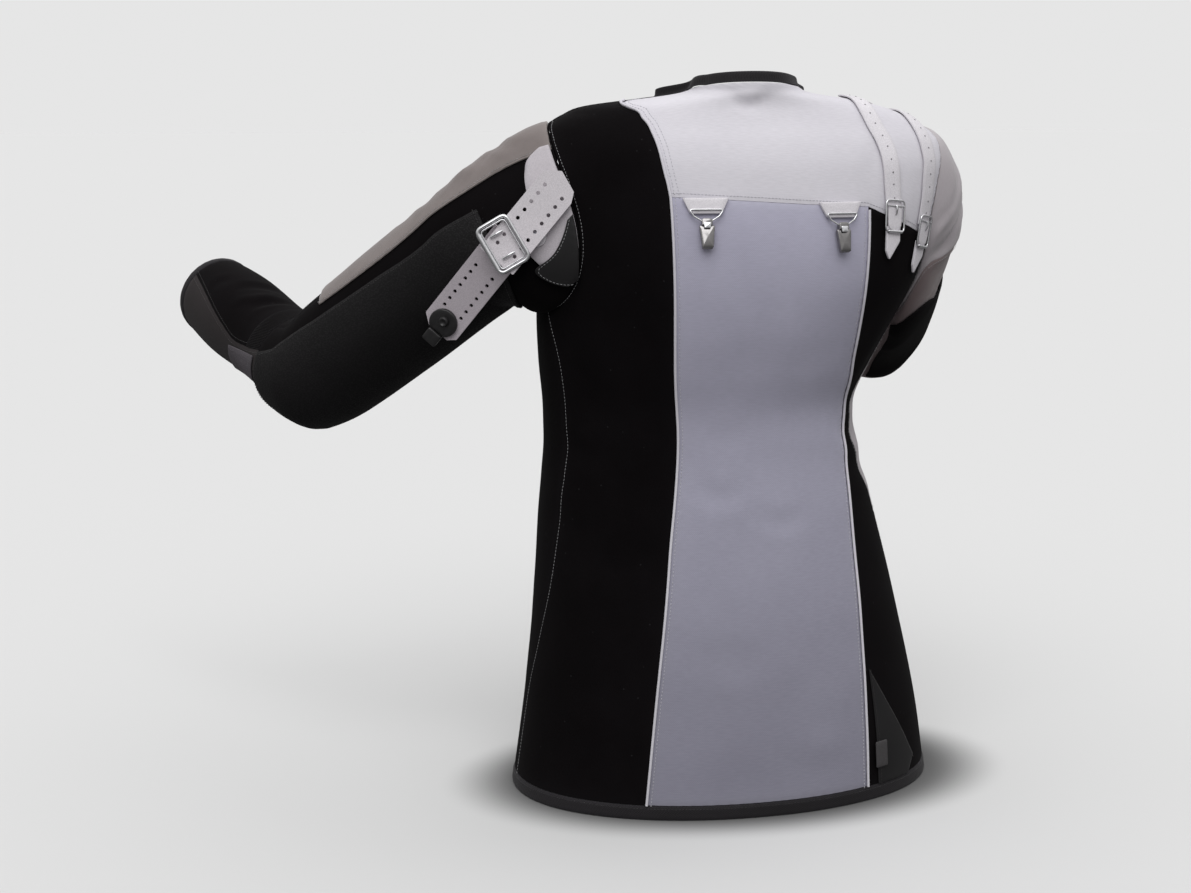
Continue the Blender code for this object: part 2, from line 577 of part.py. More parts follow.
def left_sleeve():
    """The left sleeve: upper tube, strip, rubber pad, elbow inset, forearm, grip patch and cuff."""
    arm = Arm("left")
    turns = sleeve_turns("left")
    elbow = LEFT_ROWS[-1]
    for name, part in (("left_sleeve_under", turns[:UNDER_CELLS + 1]), ("left_sleeve_upper", turns[UNDER_CELLS:])):
        sleeve_panel(name, "black", arm, pairs(part[None], np.array(LEFT_ROWS)[:, None]))
    strip = strip_grid(STRIP_LOW, STRIP_HIGH, rows_between(LEFT_ROWS, 0.001, STRIP_END), 5)
    sleeve_panel("left_sleeve_strip", "suede", arm, strip, ARM_LIFT, ARM_LIFT + SUEDE)
    alongs = rows_between(LEFT_ROWS, *PAD_ENDS)
    edge = strip_grid(PAD_TOP, ((0.0, PAD_COLUMNS[0]), (0.4, PAD_COLUMNS[0])), alongs, 3)
    rest = pairs(np.arange(*PAD_COLUMNS, TURN_CELL)[None, 1:], alongs[:, None])
    pad = np.concatenate([edge, rest], 1)
    sleeve_panel("left_arm_pad", "rubber", arm, pad, ARM_LIFT, ARM_LIFT + RUBBER)
    cuff = arm.length - CUFF_BAND
    inset_end = FOREARM_ROWS[0]
    front, front_again = (tuple((along, turn) for along in (0.34, 0.56))
                          for turn in (FOREARM_FRONT - 360, FOREARM_FRONT))
    lower = rows_between(FOREARM_ROWS, inset_end, cuff)
    sleeve_panel("left_forearm_inner", "black", arm, strip_grid(front, FOREARM_SEAM, lower, 10))
    inset_rows = np.linspace(elbow, inset_end, 3)
    outer = strip_grid(FOREARM_SEAM, front_again, joined(inset_rows, lower), 11)
    sleeve_panel("left_forearm_outer", "charcoal", arm, outer)
    ribs = strip_grid(front, FOREARM_SEAM, inset_rows[::2], 2 * INSET_RIBS)
    base = inset(arm(ribs[..., 0], ribs[..., 1]))
    out = arm.outward(ribs[..., 0], ribs[..., 1])
    rise = np.where(np.arange(ribs.shape[1]) % 2 == 1, RIB_RISE, 0.0)[None, :, None]
    add("left_elbow_inset", *slab(base - out * CANVAS, base + out * rise), "black")
    bottom, top = line((76.0, 0.350), (108.0, 0.350), 4), line((90.0, 0.410), (132.0, 0.415), 4)
    patch = coons(bottom, top, line(bottom[0], top[0], 5), line(bottom[-1], top[-1], 5))
    sleeve_panel("left_grip_patch", "rubber", arm, patch, ARM_LIFT, ARM_LIFT + 0.0014)
    cuff_band("left_cuff", arm, cuff)


def cuff_band(name, arm, start):
    """The bound edge of a sleeve, a closed ring."""
    grid = sleeve_grid(start + SEAM, arm.length, np.linspace(0, 360, 24, endpoint=False), 1)
    base, out = arm(grid[..., 0], grid[..., 1]), arm.outward(grid[..., 0], grid[..., 1])
    add(name, *slab(base - out * 0.0024, base + out * 0.0006, closed=True), "black")


def right_sleeve():
    """The right sleeve: light cap, elbow panel with its pad, forearm and cuff."""
    arm = Arm("right")
    turns = sleeve_turns("right")
    edge = curve(RIGHT_CAP_EDGE, turns)
    sleeve_panel("right_sleeve_cap", "silver", arm, sleeve_grid(RIGHT_START, edge, turns, 6))
    sleeve_panel("right_elbow_panel", "suede", arm, sleeve_grid(edge, RIGHT_ELBOW_SEAM, turns, RIGHT_ROWS))
    pad_turns = np.linspace(*RIGHT_PAD_TURNS, RIGHT_PAD_CELLS + 1)
    pad = sleeve_grid(curve(RIGHT_PAD_START, pad_turns), RIGHT_PAD_END, pad_turns, 9)
    sleeve_panel("right_elbow_pad", "black", arm, pad, RIGHT_PAD_LIFT, RIGHT_PAD_LIFT + CANVAS)
    cuff = arm.length - CUFF_BAND
    sleeve_panel("right_forearm", "silver", arm, sleeve_grid(RIGHT_ELBOW_SEAM, cuff, turns, 5))
    cuff_band("right_cuff", arm, cuff)


class Seat:
    """A place with directions: along its own x to the right, y upwards and z out of the cloth."""

    def __init__(self, point, across, up):
        self.point = np.asarray(point, float)
        self.out = unit(np.cross(across, up))
        self.up = unit(up)
        self.across = np.cross(self.up, self.out)

    def __call__(self, points):
        points = np.asarray(points, float)
        return (self.point + points[..., :1] * self.across + points[..., 1:2] * self.up
                + points[..., 2:3] * self.out)


def body_seat(angle, down, lift, lean=0.0):
    """A seat on the body's cloth, its x to the right as seen from outside, turned by a lean in degrees."""
    point, out = body(angle, down), body_outward(angle, down)
    up = unit(np.array([0, 0, 1.0]) - out * out[2])
    across = np.cross(up, out)
    turned = math.radians(lean)
    return Seat(point + out * lift, across * math.cos(turned) + up * math.sin(turned),
                up * math.cos(turned) - across * math.sin(turned))


def plate(name, outline, seat, low, high, finish):
    """A flat piece with an outline, between two heights over its seat."""
    flat = [(x, y) for x, y in outline]
    count = len(flat)
    verts = np.concatenate([seat([(x, y, z) for x, y in flat]) for z in (low, high)])
    faces = [tuple(range(count)), tuple(range(2 * count - 1, count - 1, -1))]
    faces += [(i, (i + 1) % count, count + (i + 1) % count, count + i) for i in range(count)]
    return add(name, verts, faces, finish)


def arc(x, y, radius, start, end, cells):
    """Points on an arc, with its angles in degrees."""
    return [(x + radius * math.cos(math.radians(t)), y + radius * math.sin(math.radians(t)))
            for t in np.linspace(start, end, cells + 1)]


def rod(name, points, radius, finish, sides=8, closed=False):
    """A round rod or a closed ring of wire along points."""
    points = np.asarray(points, float)
    ahead = np.roll(points, -1, 0) - points
    behind = points - np.roll(points, 1, 0)
    if not closed:
        ahead[-1], behind[0] = behind[-1], ahead[0]
    direction = unit(unit(ahead) + unit(behind))
    centre = points.mean(0)
    spread = points - centre
    axis = np.linalg.svd(spread)[2][-1]
    if len(points) == 2:
        axis = unit(np.cross(direction[0], [0.3, 0.5, 0.8]))
    side = unit(np.cross(direction, axis))
    normal = np.cross(side, direction)
    turns = np.linspace(0, 2 * math.pi, sides, endpoint=False)
    rings = (points[:, None] + radius * (np.cos(turns)[None, :, None] * side[:, None]
                                         + np.sin(turns)[None, :, None] * normal[:, None]))
    count = len(points)
    faces = []
    for i in range(count if closed else count - 1):
        k = (i + 1) % count
        faces += [(i * sides + j, i * sides + (j + 1) % sides, k * sides + (j + 1) % sides, k * sides + j)
                  for j in range(sides)]
    if not closed:
        faces += [tuple(range(sides)), tuple(range((count - 1) * sides, count * sides))]
    return add(name, rings.reshape(-1, 3), faces, finish)


def frame_ring(width, height, corner):
    """Points of a rounded rectangle round the origin."""
    x, y = width / 2 - corner, height / 2 - corner
    return (arc(x, -y, corner, -90, 0, 3) + arc(x, y, corner, 0, 90, 3)
            + arc(-x, y, corner, 90, 180, 3) + arc(-x, -y, corner, 180, 270, 3))


def piping(name, edge, radius=0.0013):
    """A thin cord on a seam of the body."""
    base, out = body(edge[:, 0], edge[:, 1]), body_outward(edge[:, 0], edge[:, 1])
    middle = base + out * (radius + SEAM)
    ahead = unit(np.gradient(middle, axis=0))
    side = np.cross(out, ahead)
    turns = np.linspace(0, 2 * math.pi, 6, endpoint=False)
    rings = middle[:, None] + radius * (np.cos(turns)[None, :, None] * side[:, None]
                                        + np.sin(turns)[None, :, None] * out[:, None])
    count = len(middle)
    faces = [(i * 6 + j, i * 6 + (j + 1) % 6, i * 6 + 6 + (j + 1) % 6, i * 6 + 6 + j)
             for i in range(count - 1) for j in range(6)]
    faces += [tuple(range(6)), tuple(range(count * 6 - 6, count * 6))]
    return add(name, rings.reshape(-1, 3), faces, "white")


def edges_and_trim():
    """Collar, hem band, piping, front band, buttons, pocket panel and side tab."""
    sides = neck_edge(90, FRONT_EDGE, NECK_CELLS)[:, 0]
    angle = np.concatenate([-sides[::-1], neck_edge(-90, 90, 2 * NECK_CELLS)[1:-1, 0], sides])
    down = neck_down(angle)
    base, out = body(angle, down), body_outward(angle, down)
    upwards = unit(body(angle, down - STEP) - base)
    inward = unit(-base * np.array([1, 1, 0]))
    climb = unit(inward * COLLAR_LEAN + np.array([0, 0, 1.0]))
    foot = base - out * CANVAS / 2 + upwards * COLLAR_GAP
    middle = foot + unit(upwards + climb) * COLLAR_RISE / 2
    grid = np.stack([foot, middle, middle + climb * COLLAR_RISE / 2])
    ahead = unit(np.gradient(base, axis=0))
    across = unit(np.cross(ahead, climb))
    across *= np.sign(np.sum(across * out, -1, keepdims=True))
    thick = np.stack([out, unit(out + across), across]) * CANVAS / 2
    add("collar", *slab(grid - thick, grid + thick), "black")
    hem = HEM_DOWN - HEM_BAND
    band = pairs(np.broadcast_to(np.linspace(-FRONT_EDGE, FRONT_EDGE, 55), (2, 55)),
                 np.array([[HEM_DOWN], [hem]]))
    base, out = body(band[..., 0], band[..., 1]), body_outward(band[..., 0], band[..., 1])
    add("hem_band", *slab(base - out * 0.0026, base + out * 0.0006), "black")
    low = PANEL_HEM
    piping("piping_left", joined(back_seam("left"), yoke_left_edge())[:-1])
    piping("piping_right", back_seam("right")[:-1])
    spread = np.linspace(-FRONT_BAND_HALF_ANGLE, FRONT_BAND_HALF_ANGLE, 3) + 180
    rows = front_edge(1)[:, 1]
    rows[0], rows[-1] = low - 0.002, neck_down(180.0) + 0.004
    grid = pairs(np.broadcast_to(spread, (len(rows), 3)), rows[:, None])
    add("front_band", *laid(body, body_outward, grid, LAID, LAID + CANVAS), "black")
    middle = body(grid[:, 1, 0], grid[:, 1, 1])
    for k, row in enumerate(np.linspace(1, len(rows) - 3, BUTTONS).round().astype(int)):
        up = unit(middle[row + 1] - middle[row])
        across = np.array([1.0, 0, 0])
        out = unit(np.cross(across, up))
        seat = Seat((middle[row] + middle[row + 1]) / 2 + out * (LAID + CANVAS + SEAM), across, up)
        plate(f"button_{k + 1}", arc(0, 0, 0.0095, 0, 330, 11), seat, 0, 0.0028, "plastic")
    patch = coons(line((-62.0, low), (-48.0, low), 6), line((-66.0, 0.690), (-48.0, 0.588), 6),
                  line((-62.0, low), (-66.0, 0.690), 5), line((-48.0, low), (-48.0, 0.588), 5))
    add("pocket_panel", *laid(body, body_outward, patch, LAID, LAID + 0.0012), "charcoal")
    seat = body_seat(-49.0, 0.675, LAID + 2 * SEAM + 0.0014)
    plate("side_tab", [(-0.008, -0.013), (0.008, -0.013), (0.008, 0.013), (-0.008, 0.013)], seat,
          0, 0.001, "suede")


def back_clips():
    """Two leather tabs under the yoke, each with a wire loop and a clip."""
    for side, sign in (("left", 1), ("right", -1)):
        corner = {"left": 0.1225, "right": 0.1275}[side]
        angle = float(seam_angle(((0.1, CLIP_ACROSS * sign), (0.2, CLIP_ACROSS * sign)), np.array(corner)))
        seat = body_seat(angle, corner, 0.0004)
        top, foot = TAB_TOP / 2, TAB_FOOT / 2
        outline = [(-foot, -TAB_HIGH), (foot, -TAB_HIGH), (top, 0.0), (-top, 0.0)]
        plate(f"clip_tab_{side}", outline, seat, 0.0004, 0.0030, "white")
        loop = [(x, y - TAB_HIGH - 0.0042, 0.0024) for x, y in frame_ring(0.028, 0.0060, 0.0025)]
        rod(f"clip_loop_{side}", seat(loop), 0.0009, "chrome", 6, closed=True)
        y = -TAB_HIGH - 0.0085
        body_line = [(-0.0055, y - 0.024), (0.0055, y - 0.024), (0.0072, y - 0.004), (0.0072, y),
                     (-0.0072, y), (-0.0072, y - 0.004)]
        plate(f"clip_jaw_{side}", body_line, seat, 0.0008, 0.0055, "chrome")


def strap_line(rows, samples):
    """Points along a strap's middle on the body, and the cloth's directions there."""
    at = np.linspace(0, len(rows) - 1, samples)
    table = [(k, *row) for k, row in enumerate(rows)]
    angle, down = curve(table, at, 1), curve(table, at, 2)
    return body(angle, down), body_outward(angle, down)


def shoulder_straps():
    """Two straps over the right shoulder, each ending in a roller buckle with a free tail."""
    for k, rows in enumerate(SHOULDER_STRAPS):
        middle, out = strap_line(rows, 17)
        ahead = unit(np.gradient(middle, axis=0))
        side = unit(np.cross(out, ahead))
        base = middle + out * STRAP_LIFT[k]
        grid = np.stack([base + side * SHOULDER_STRAP_HALF * t - out * 0.0004 * t * t for t in (-1, 0, 1)], 1)
        add(f"shoulder_strap_{k + 1}", *slab(grid, grid + out[:, None] * 0.0018), "white")
        end, down = rows[-1]
        seat = Seat(middle[-1] + out[-1] * 0.0052, np.cross(-ahead[-1], out[-1]), -ahead[-1])
        ring = [(x, y - 0.006, 0.0) for x, y in frame_ring(0.023, 0.030, 0.004)]
        rod(f"shoulder_buckle_{k + 1}", seat(ring), 0.0013, "chrome", 6, closed=True)
        tail = [(-0.0085, -0.016), (0.0085, -0.016), (0.0085, -0.030), (-0.004, -0.048), (-0.0085, -0.040)]
        plate(f"shoulder_tail_{k + 1}", tail, seat, -0.0040, -0.0018, "white")


def sling_seat(ends):
    """A seat at the lower end of a sling strap, its y along the strap and z towards the outside."""
    low, high = (np.array(p) for p in ends)
    along, back = unit(high - low), np.array(SLING_OUT)
    back = unit(back - along * (back @ along))
    return Seat(low, np.cross(along, back), along), float(np.linalg.norm(high - low))


def arm_seat(arm, turn, along, lift):
    """A seat on a sleeve, its y up the sleeve towards the shoulder."""
    point, out = arm(turn, along), arm.outward(turn, along)
    up = unit(arm(turn, along - 0.001) - point)
    return Seat(point + out * lift, np.cross(up, out), up)


def punched(solid, seat, places, depth):
    """Cuts round holes through a strap."""
    made = bmesh.new()
    for x, y in places:
        ring = [[made.verts.new(seat([(px, py, z)])[0]) for px, py in arc(x, y, HOLE, 0, 300, 5)]
                for z in (-depth, 2 * depth)]
        count = len(ring[0])
        made.faces.new(ring[0])
        made.faces.new(ring[1])
        for i in range(count):
            j = (i + 1) % count
            made.faces.new([ring[0][i], ring[0][j], ring[1][j], ring[1][i]])
    bmesh.ops.recalc_face_normals(made, faces=made.faces)
    mesh = bpy.data.meshes.new(solid.name + "_holes")
    made.to_mesh(mesh)
    made.free()
    cutter = bpy.data.objects.new(solid.name + "_holes", mesh)
    bpy.context.collection.objects.link(cutter)
    cutter.hide_render = True
    cutter.display_type = "WIRE"
    cut = solid.modifiers.new("holes", "BOOLEAN")
    cut.operation = "DIFFERENCE"
    cut.object = cutter


def sling():
    """The anchor, flap and tab at the armhole, both perforated straps, the buckle and the hook."""
    arm = Arm("left")
    turns = np.linspace(40, 106, 10)
    grid = sleeve_grid(0.0015, curve(ANCHOR_EDGE, turns), turns, 3)
    sleeve_panel("sling_anchor", "white", arm, grid, ANCHOR_LIFT, ANCHOR_LIFT + ANCHOR_THICK)
    turns = np.linspace(86, 126, 7)
    grid = sleeve_grid(0.0015, curve(FLAP_EDGE, turns), turns, 3)
    flap_lift = ANCHOR_LIFT + ANCHOR_THICK + ARM_LIFT
    sleeve_panel("armhole_flap", "black", arm, grid, flap_lift, flap_lift + SUEDE)
    seat = arm_seat(arm, 88.0, 0.0265, ANCHOR_LIFT + ANCHOR_THICK + 2 * SEAM)
    plate("rivet_tab", arc(0, 0, 0.0085, 0, 330, 11), seat, 0, 0.0016, "white")
    plate("rivet", arc(0, 0, 0.0048, 0, 330, 11), seat, 0.0019, 0.0034, "chrome")
    seat, long = sling_seat(LOWER_STRAP_ENDS)
    half, cut = SLING_HALF, 0.007
    outline = [(-half + 0.010, 0), (half - cut, 0), (half, cut), (half, long), (-half, long), (-half, 0.008)]
    strap = plate("lower_sling_strap", outline, seat, 0, SLING_THICK, "white")
    punched(strap, seat, [(x, 0.0275 + 0.0088 * k) for k in range(7) for x in (-HOLE_ROW, HOLE_ROW)],
            SLING_THICK)
    base = [(x, y + 0.0125) for x, y in arc(0, 0, 0.0142, -50, 230, 14)]
    plate("hook_base", base, seat, SLING_THICK + SEAM, SLING_THICK + 0.0040, "plastic")
    tongue = [(-0.0078, -0.0125), (0.0078, -0.0125), (0.0078, 0.0010), (-0.0078, 0.0010)]
    plate("hook_tongue", tongue, seat, SLING_THICK + SEAM, SLING_THICK + 0.0062, "plastic")
    knob = [(x, y + 0.0155) for x, y in arc(0, 0, 0.0052, 0, 330, 11)]
    plate("hook_knob", knob, seat, SLING_THICK + 0.0043, SLING_THICK + 0.0085, "plastic")
    seat, long = sling_seat(UPPER_STRAP_ENDS)
    outline = [(-half, 0), (half, 0), (half, long - 0.018), (half - 0.005, long - 0.008),
               (-half + 0.014, long), (-half, long - 0.010)]
    strap = plate("upper_sling_strap", outline, seat, 0, SLING_THICK, "white")
    punched(strap, seat, [(x, long - 0.0200 - 0.0100 * k) for k in range(8) for x in (-HOLE_ROW, HOLE_ROW)],
            SLING_THICK)
    lift = SLING_THICK + SEAM + BUCKLE_WIRE
    point, view = np.array(BUCKLE_POINT), np.array(SLING_OUT)
    point = point + view * (lift - (point - seat.point) @ seat.out) / (view @ seat.out)
    along = unit(np.array(BUCKLE_ALONG))
    along = unit(along - seat.out * (along @ seat.out))
    seat = Seat(point, np.cross(along, seat.out), along)
    ring = [(x, y, 0.0) for x, y in frame_ring(BUCKLE_WIDE, BUCKLE_LONG, 0.0050)]
    rod("sling_buckle", seat(ring), BUCKLE_WIRE, "chrome", 8, closed=True)
    for k, x in enumerate((-PRONG_OUT, PRONG_OUT)):
        prong = seat([(x, -0.0070, PRONG_WIRE - BUCKLE_WIRE), (x, 0.0060, PRONG_WIRE - BUCKLE_WIRE)])
        rod(f"sling_prong_{k + 1}", prong, PRONG_WIRE, "chrome", 8)


def main():
    """Clears the scene and builds every piece."""
    for old in list(bpy.data.objects):
        bpy.data.objects.remove(old, do_unlink=True)
    body_panels()
    edges_and_trim()
    left_sleeve()
    right_sleeve()
    back_clips()
    shoulder_straps()
    sling()


if __name__ == "__main__":
    main()
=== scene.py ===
"""A shooting jacket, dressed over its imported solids: cloth, leather, rubber, metal and stitches.

Metres, +Z up. The origin is the centre of the neck opening, +X is the wearer's left, -Y the front.
A place on the body is (angle, down): degrees from the back centre towards the wearer's left, and
metres down from the origin. A place on a sleeve is (turn, along): degrees round the arm from its top
towards the back, and metres from the armhole.
"""

import json
import logging
import math
from dataclasses import dataclass
from enum import Enum
from typing import Callable, Sequence

import bmesh
import bpy
import numpy as np
from mathutils import Matrix, Vector

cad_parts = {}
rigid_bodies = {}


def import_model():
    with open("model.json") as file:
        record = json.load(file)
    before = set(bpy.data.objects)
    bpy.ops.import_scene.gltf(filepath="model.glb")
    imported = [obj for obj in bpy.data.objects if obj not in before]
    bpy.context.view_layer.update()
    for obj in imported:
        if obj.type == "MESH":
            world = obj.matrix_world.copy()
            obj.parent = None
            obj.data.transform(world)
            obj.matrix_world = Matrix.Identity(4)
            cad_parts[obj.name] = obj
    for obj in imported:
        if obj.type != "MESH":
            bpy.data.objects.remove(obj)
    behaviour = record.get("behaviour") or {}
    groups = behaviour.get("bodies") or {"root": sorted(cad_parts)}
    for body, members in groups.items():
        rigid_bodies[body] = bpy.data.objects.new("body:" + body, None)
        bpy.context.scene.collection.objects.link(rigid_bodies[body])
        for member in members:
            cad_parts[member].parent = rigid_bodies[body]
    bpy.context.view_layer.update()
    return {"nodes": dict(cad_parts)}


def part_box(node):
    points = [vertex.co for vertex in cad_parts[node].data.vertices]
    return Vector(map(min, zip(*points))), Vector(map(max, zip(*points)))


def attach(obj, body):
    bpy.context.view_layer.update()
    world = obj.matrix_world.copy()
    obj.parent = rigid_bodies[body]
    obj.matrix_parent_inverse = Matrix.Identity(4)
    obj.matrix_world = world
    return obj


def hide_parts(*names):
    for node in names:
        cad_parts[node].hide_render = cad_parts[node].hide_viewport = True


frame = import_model()

log = logging.getLogger("jacket")
Places = np.ndarray
Points = np.ndarray
Outline = list[tuple[float, float]]
Mesh = bpy.types.Mesh
Material = bpy.types.Material
Socket = bpy.types.NodeSocket


class Side(Enum):
    """The wearer's side that a piece is on."""

    LEFT = "left"
    RIGHT = "right"

    @property
    def sign(self) -> int:
        """+1 on the wearer's left, -1 on the right."""
        return 1 if self is Side.LEFT else -1


class Border(Enum):
    """The borders of a panel's grid."""

    FIRST_COLUMN = "first column"
    LAST_COLUMN = "last column"
    FIRST_ROW = "first row"
    LAST_ROW = "last row"


# Walls and gaps
CANVAS = 0.0022
SUEDE = 0.0016
RUBBER = 0.0030
SEAM = 0.0003
LAID = 0.0009
ARM_LIFT = 0.0011
SEAM_INSET = 0.0042
STEP = 0.00002

# The body: its sections from the neck to the hem, and its seams
HEM_DOWN = 0.720
HEM_BAND = 0.014
UNDERARM_DOWN = 0.232
SEAM_DRAWN = 0.7 * SEAM
SEAM_CLOSED = 0.0002
PANEL_HEM = HEM_DOWN - HEM_BAND - SEAM
# Rows of (down, left, right, back, front, shift_x, shift_y, square)
BODY = (
    (0.008, 0.056, 0.056, 0.058, 0.054, 0.000, 0.000, 2.0),
    (0.018, 0.054, 0.058, 0.060, 0.056, 0.000, 0.000, 2.0),
    (0.024, 0.058, 0.068, 0.060, 0.056, 0.000, 0.000, 2.1),
    (0.031, 0.110, 0.112, 0.060, 0.055, -0.001, 0.000, 2.2),
    (0.038, 0.160, 0.143, 0.062, 0.056, -0.003, 0.000, 2.3),
    (0.046, 0.182, 0.165, 0.067, 0.059, -0.004, 0.000, 2.4),
    (0.055, 0.198, 0.181, 0.074, 0.064, -0.005, 0.000, 2.4),
    (0.068, 0.206, 0.197, 0.085, 0.073, -0.005, 0.000, 2.4),
    (0.085, 0.209, 0.206, 0.096, 0.084, -0.004, 0.000, 2.4),
    (0.115, 0.206, 0.206, 0.108, 0.102, -0.001, 0.000, 2.4),
    (0.150, 0.200, 0.202, 0.118, 0.122, 0.003, 0.000, 2.3),
    (0.200, 0.190, 0.193, 0.124, 0.145, 0.009, -0.002, 2.3),
    (0.248, 0.180, 0.180, 0.122, 0.155, 0.020, -0.005, 2.2),
    (0.290, 0.168, 0.168, 0.117, 0.150, 0.029, -0.009, 2.2),
    (0.330, 0.159, 0.159, 0.112, 0.138, 0.035, -0.012, 2.1),
    (0.370, 0.161, 0.161, 0.112, 0.130, 0.033, -0.012, 2.1),
    (0.434, 0.172, 0.172, 0.118, 0.126, 0.028, -0.008, 2.1),
    (0.540, 0.189, 0.189, 0.132, 0.132, 0.019, -0.002, 2.1),
    (0.648, 0.207, 0.207, 0.141, 0.140, 0.013, 0.000, 2.1),
    (0.720, 0.217, 0.219, 0.144, 0.144, 0.013, 0.000, 2.1),
)
BACK_SEAMS = {
    Side.LEFT: ((0.121, 0.098), (0.208, 0.096), (0.292, 0.092), (0.344, 0.087), (0.468, 0.098),
                (0.612, 0.115), (0.720, 0.126)),
    Side.RIGHT: ((0.132, -0.098), (0.220, -0.095), (0.424, -0.096), (0.540, -0.099), (0.720, -0.104)),
}
YOKE_LEFT = ((0.031, 90.0), (0.035, 78.0), (0.040, 69.5), (0.050, 63.0), (0.064, 57.0), (0.104, 47.0),
             (0.121, 44.0))
SIDE_SEAMS = {
    Side.LEFT: ((0.232, 84.0), (0.280, 77.0), (0.340, 75.0), (0.420, 76.0), (0.500, 79.5),
                (0.564, 85.0), (0.620, 90.0), (0.720, 91.0)),
    Side.RIGHT: ((0.232, -84.0), (0.290, -74.0), (0.340, -70.0), (0.380, -71.0), (0.432, -77.0),
                 (0.500, -82.0), (0.720, -86.0)),
}
YOKE_CORNER_DOWN = {Side.LEFT: 0.121, Side.RIGHT: 0.132}
YOKE_RIDGE_DOWN = 0.031
SHOULDER_DOWN = {Side.LEFT: 0.054, Side.RIGHT: 0.060}
ARMHOLE_SWING = {Side.LEFT: (12.0, 22.0), Side.RIGHT: (18.0, 12.0)}
ARMHOLE_FRONT = {Side.LEFT: 24.0, Side.RIGHT: 28.0}
NECK_BACK_DOWN = 0.015
NECK_SLOPE = 0.014
NECK_FRONT_DOWN = 0.085
NECK_DROP = 7.0
FRONT_EDGE = 179.7
FRONT_PATCH_MIDDLE = 0.390

# Cells of the cloth grids, several to each cell of the solids
FINE = 6
HEM_CELLS = 11 * 12
FRONT_PATCH_CELLS = 6 * 12
CHEST_CELLS = 5 * FINE
SHOULDER_CELLS = 7 * FINE
TURN_CELL = 15.0 / FINE
SIDE_CELLS = 7 * FINE
FRONT_CELLS = 9 * FINE
BACK_CELLS = 12 * FINE
NECK_CELLS = 8 * FINE

# Arms: shoulder, elbow and wrist centres, the bend, and rows of (along, half height, half depth)
ARM_POINTS = {
    Side.LEFT: ((0.206, 0.004, -0.129), (0.407, -0.156, -0.312), (0.4965, -0.356, -0.247)),
    Side.RIGHT: ((-0.178, 0.000, -0.140), (-0.209, -0.180, -0.284), (-0.060, -0.342, -0.250)),
}
ARM_BEND = {Side.LEFT: 0.064, Side.RIGHT: 0.072}
ARM_HEAD = {Side.LEFT: 0.085, Side.RIGHT: 0.171}
ARM_HEAD_UNDER = {Side.LEFT: 0.0, Side.RIGHT: 0.045}
ARM_SIZES = {
    Side.LEFT: ((0.000, 0.072, 0.068), (0.085, 0.064, 0.063), (0.200, 0.062, 0.063), (0.300, 0.058, 0.060),
                (0.380, 0.046, 0.048), (0.480, 0.0485, 0.0485), (0.560, 0.0415, 0.0415)),
    Side.RIGHT: ((0.000, 0.076, 0.074), (0.070, 0.066, 0.068), (0.150, 0.0625, 0.0635), (0.230, 0.057, 0.057),
                 (0.320, 0.051, 0.050), (0.480, 0.044, 0.042)),
}
ELBOW_CORNER = {Side.LEFT: 0.40, Side.RIGHT: 0.55}
HEAD_ALONG = 0.75
HEAD_SWELL = {Side.LEFT: 0.35, Side.RIGHT: 0.64}
HEAD_RELEASE = 0.9
CHEST_GAP_START = 0.03
ARMHOLE_FADE = 0.014
PRESSED_TURNS = (186.0, 346.0)
CHEST_GAP = 0.007
UNDER_SEAM = {Side.LEFT: 225.0, Side.RIGHT: 195.0}
UNDER_CELLS = 11 * FINE


def curve(rows: Sequence[Sequence[float]], at: np.ndarray | float, column: int = 1) -> np.ndarray:
    """A smooth line through a short table's rows.

    Args:
        rows: rows that start with the place along the line.
        at: the places to read.
        column: the column to read.

    Returns:
        The line's values at those places.
    """
    table = np.array(rows, float)
    table = table[np.argsort(table[:, 0])]
    keys, values = table[:, 0], table[:, column]
    slopes = np.gradient(values, keys)
    at = np.clip(np.asarray(at, float), keys[0], keys[-1])
    i = np.clip(np.searchsorted(keys, at) - 1, 0, len(keys) - 2)
    width = keys[i + 1] - keys[i]
    t = (at - keys[i]) / width
    start = (2 * t**3 - 3 * t**2 + 1) * values[i] + (t**3 - 2 * t**2 + t) * width * slopes[i]
    end = (3 * t**2 - 2 * t**3) * values[i + 1] + (t**3 - t**2) * width * slopes[i + 1]
    return start + end


def unit(v: np.ndarray) -> np.ndarray:
    """The same directions with a length of 1."""
    v = np.asarray(v, float)
    return v / np.linalg.norm(v, axis=-1, keepdims=True)


def pairs(first: np.ndarray | float, second: np.ndarray | float) -> Places:
    """Places from two numbers or arrays."""
    return np.stack(np.broadcast_arrays(np.asarray(first, float), np.asarray(second, float)), -1)


def joined(*edges: Places) -> Places:
    """One edge from several that follow each other and share their ends."""
    return np.concatenate([edges[0]] + [e[1:] for e in edges[1:]])


def straight(start: Sequence[float], end: Sequence[float], cells: int) -> Places:
    """A straight edge between two places, with a number of cells."""
    return np.linspace(start, end, cells + 1)


def coons(bottom: Places, top: Places, left: Places, right: Places) -> Places:
    """A grid of places between four edges.

    Args:
        bottom: the first row, from left to right.
        top: the last row.
        left: the first column, from bottom to top.
        right: the last column.

    Returns:
        An array of rows, columns and the two numbers of a place.
    """
    across = np.linspace(0, 1, len(bottom))[None, :, None]
    up = np.linspace(0, 1, len(left))[:, None, None]
    ruled = (1 - up) * bottom[None] + up * top[None] + (1 - across) * left[:, None] + across * right[:, None]
    corners = (1 - up) * ((1 - across) * bottom[0] + across * bottom[-1])
    return ruled - corners - up * ((1 - across) * top[0] + across * top[-1])


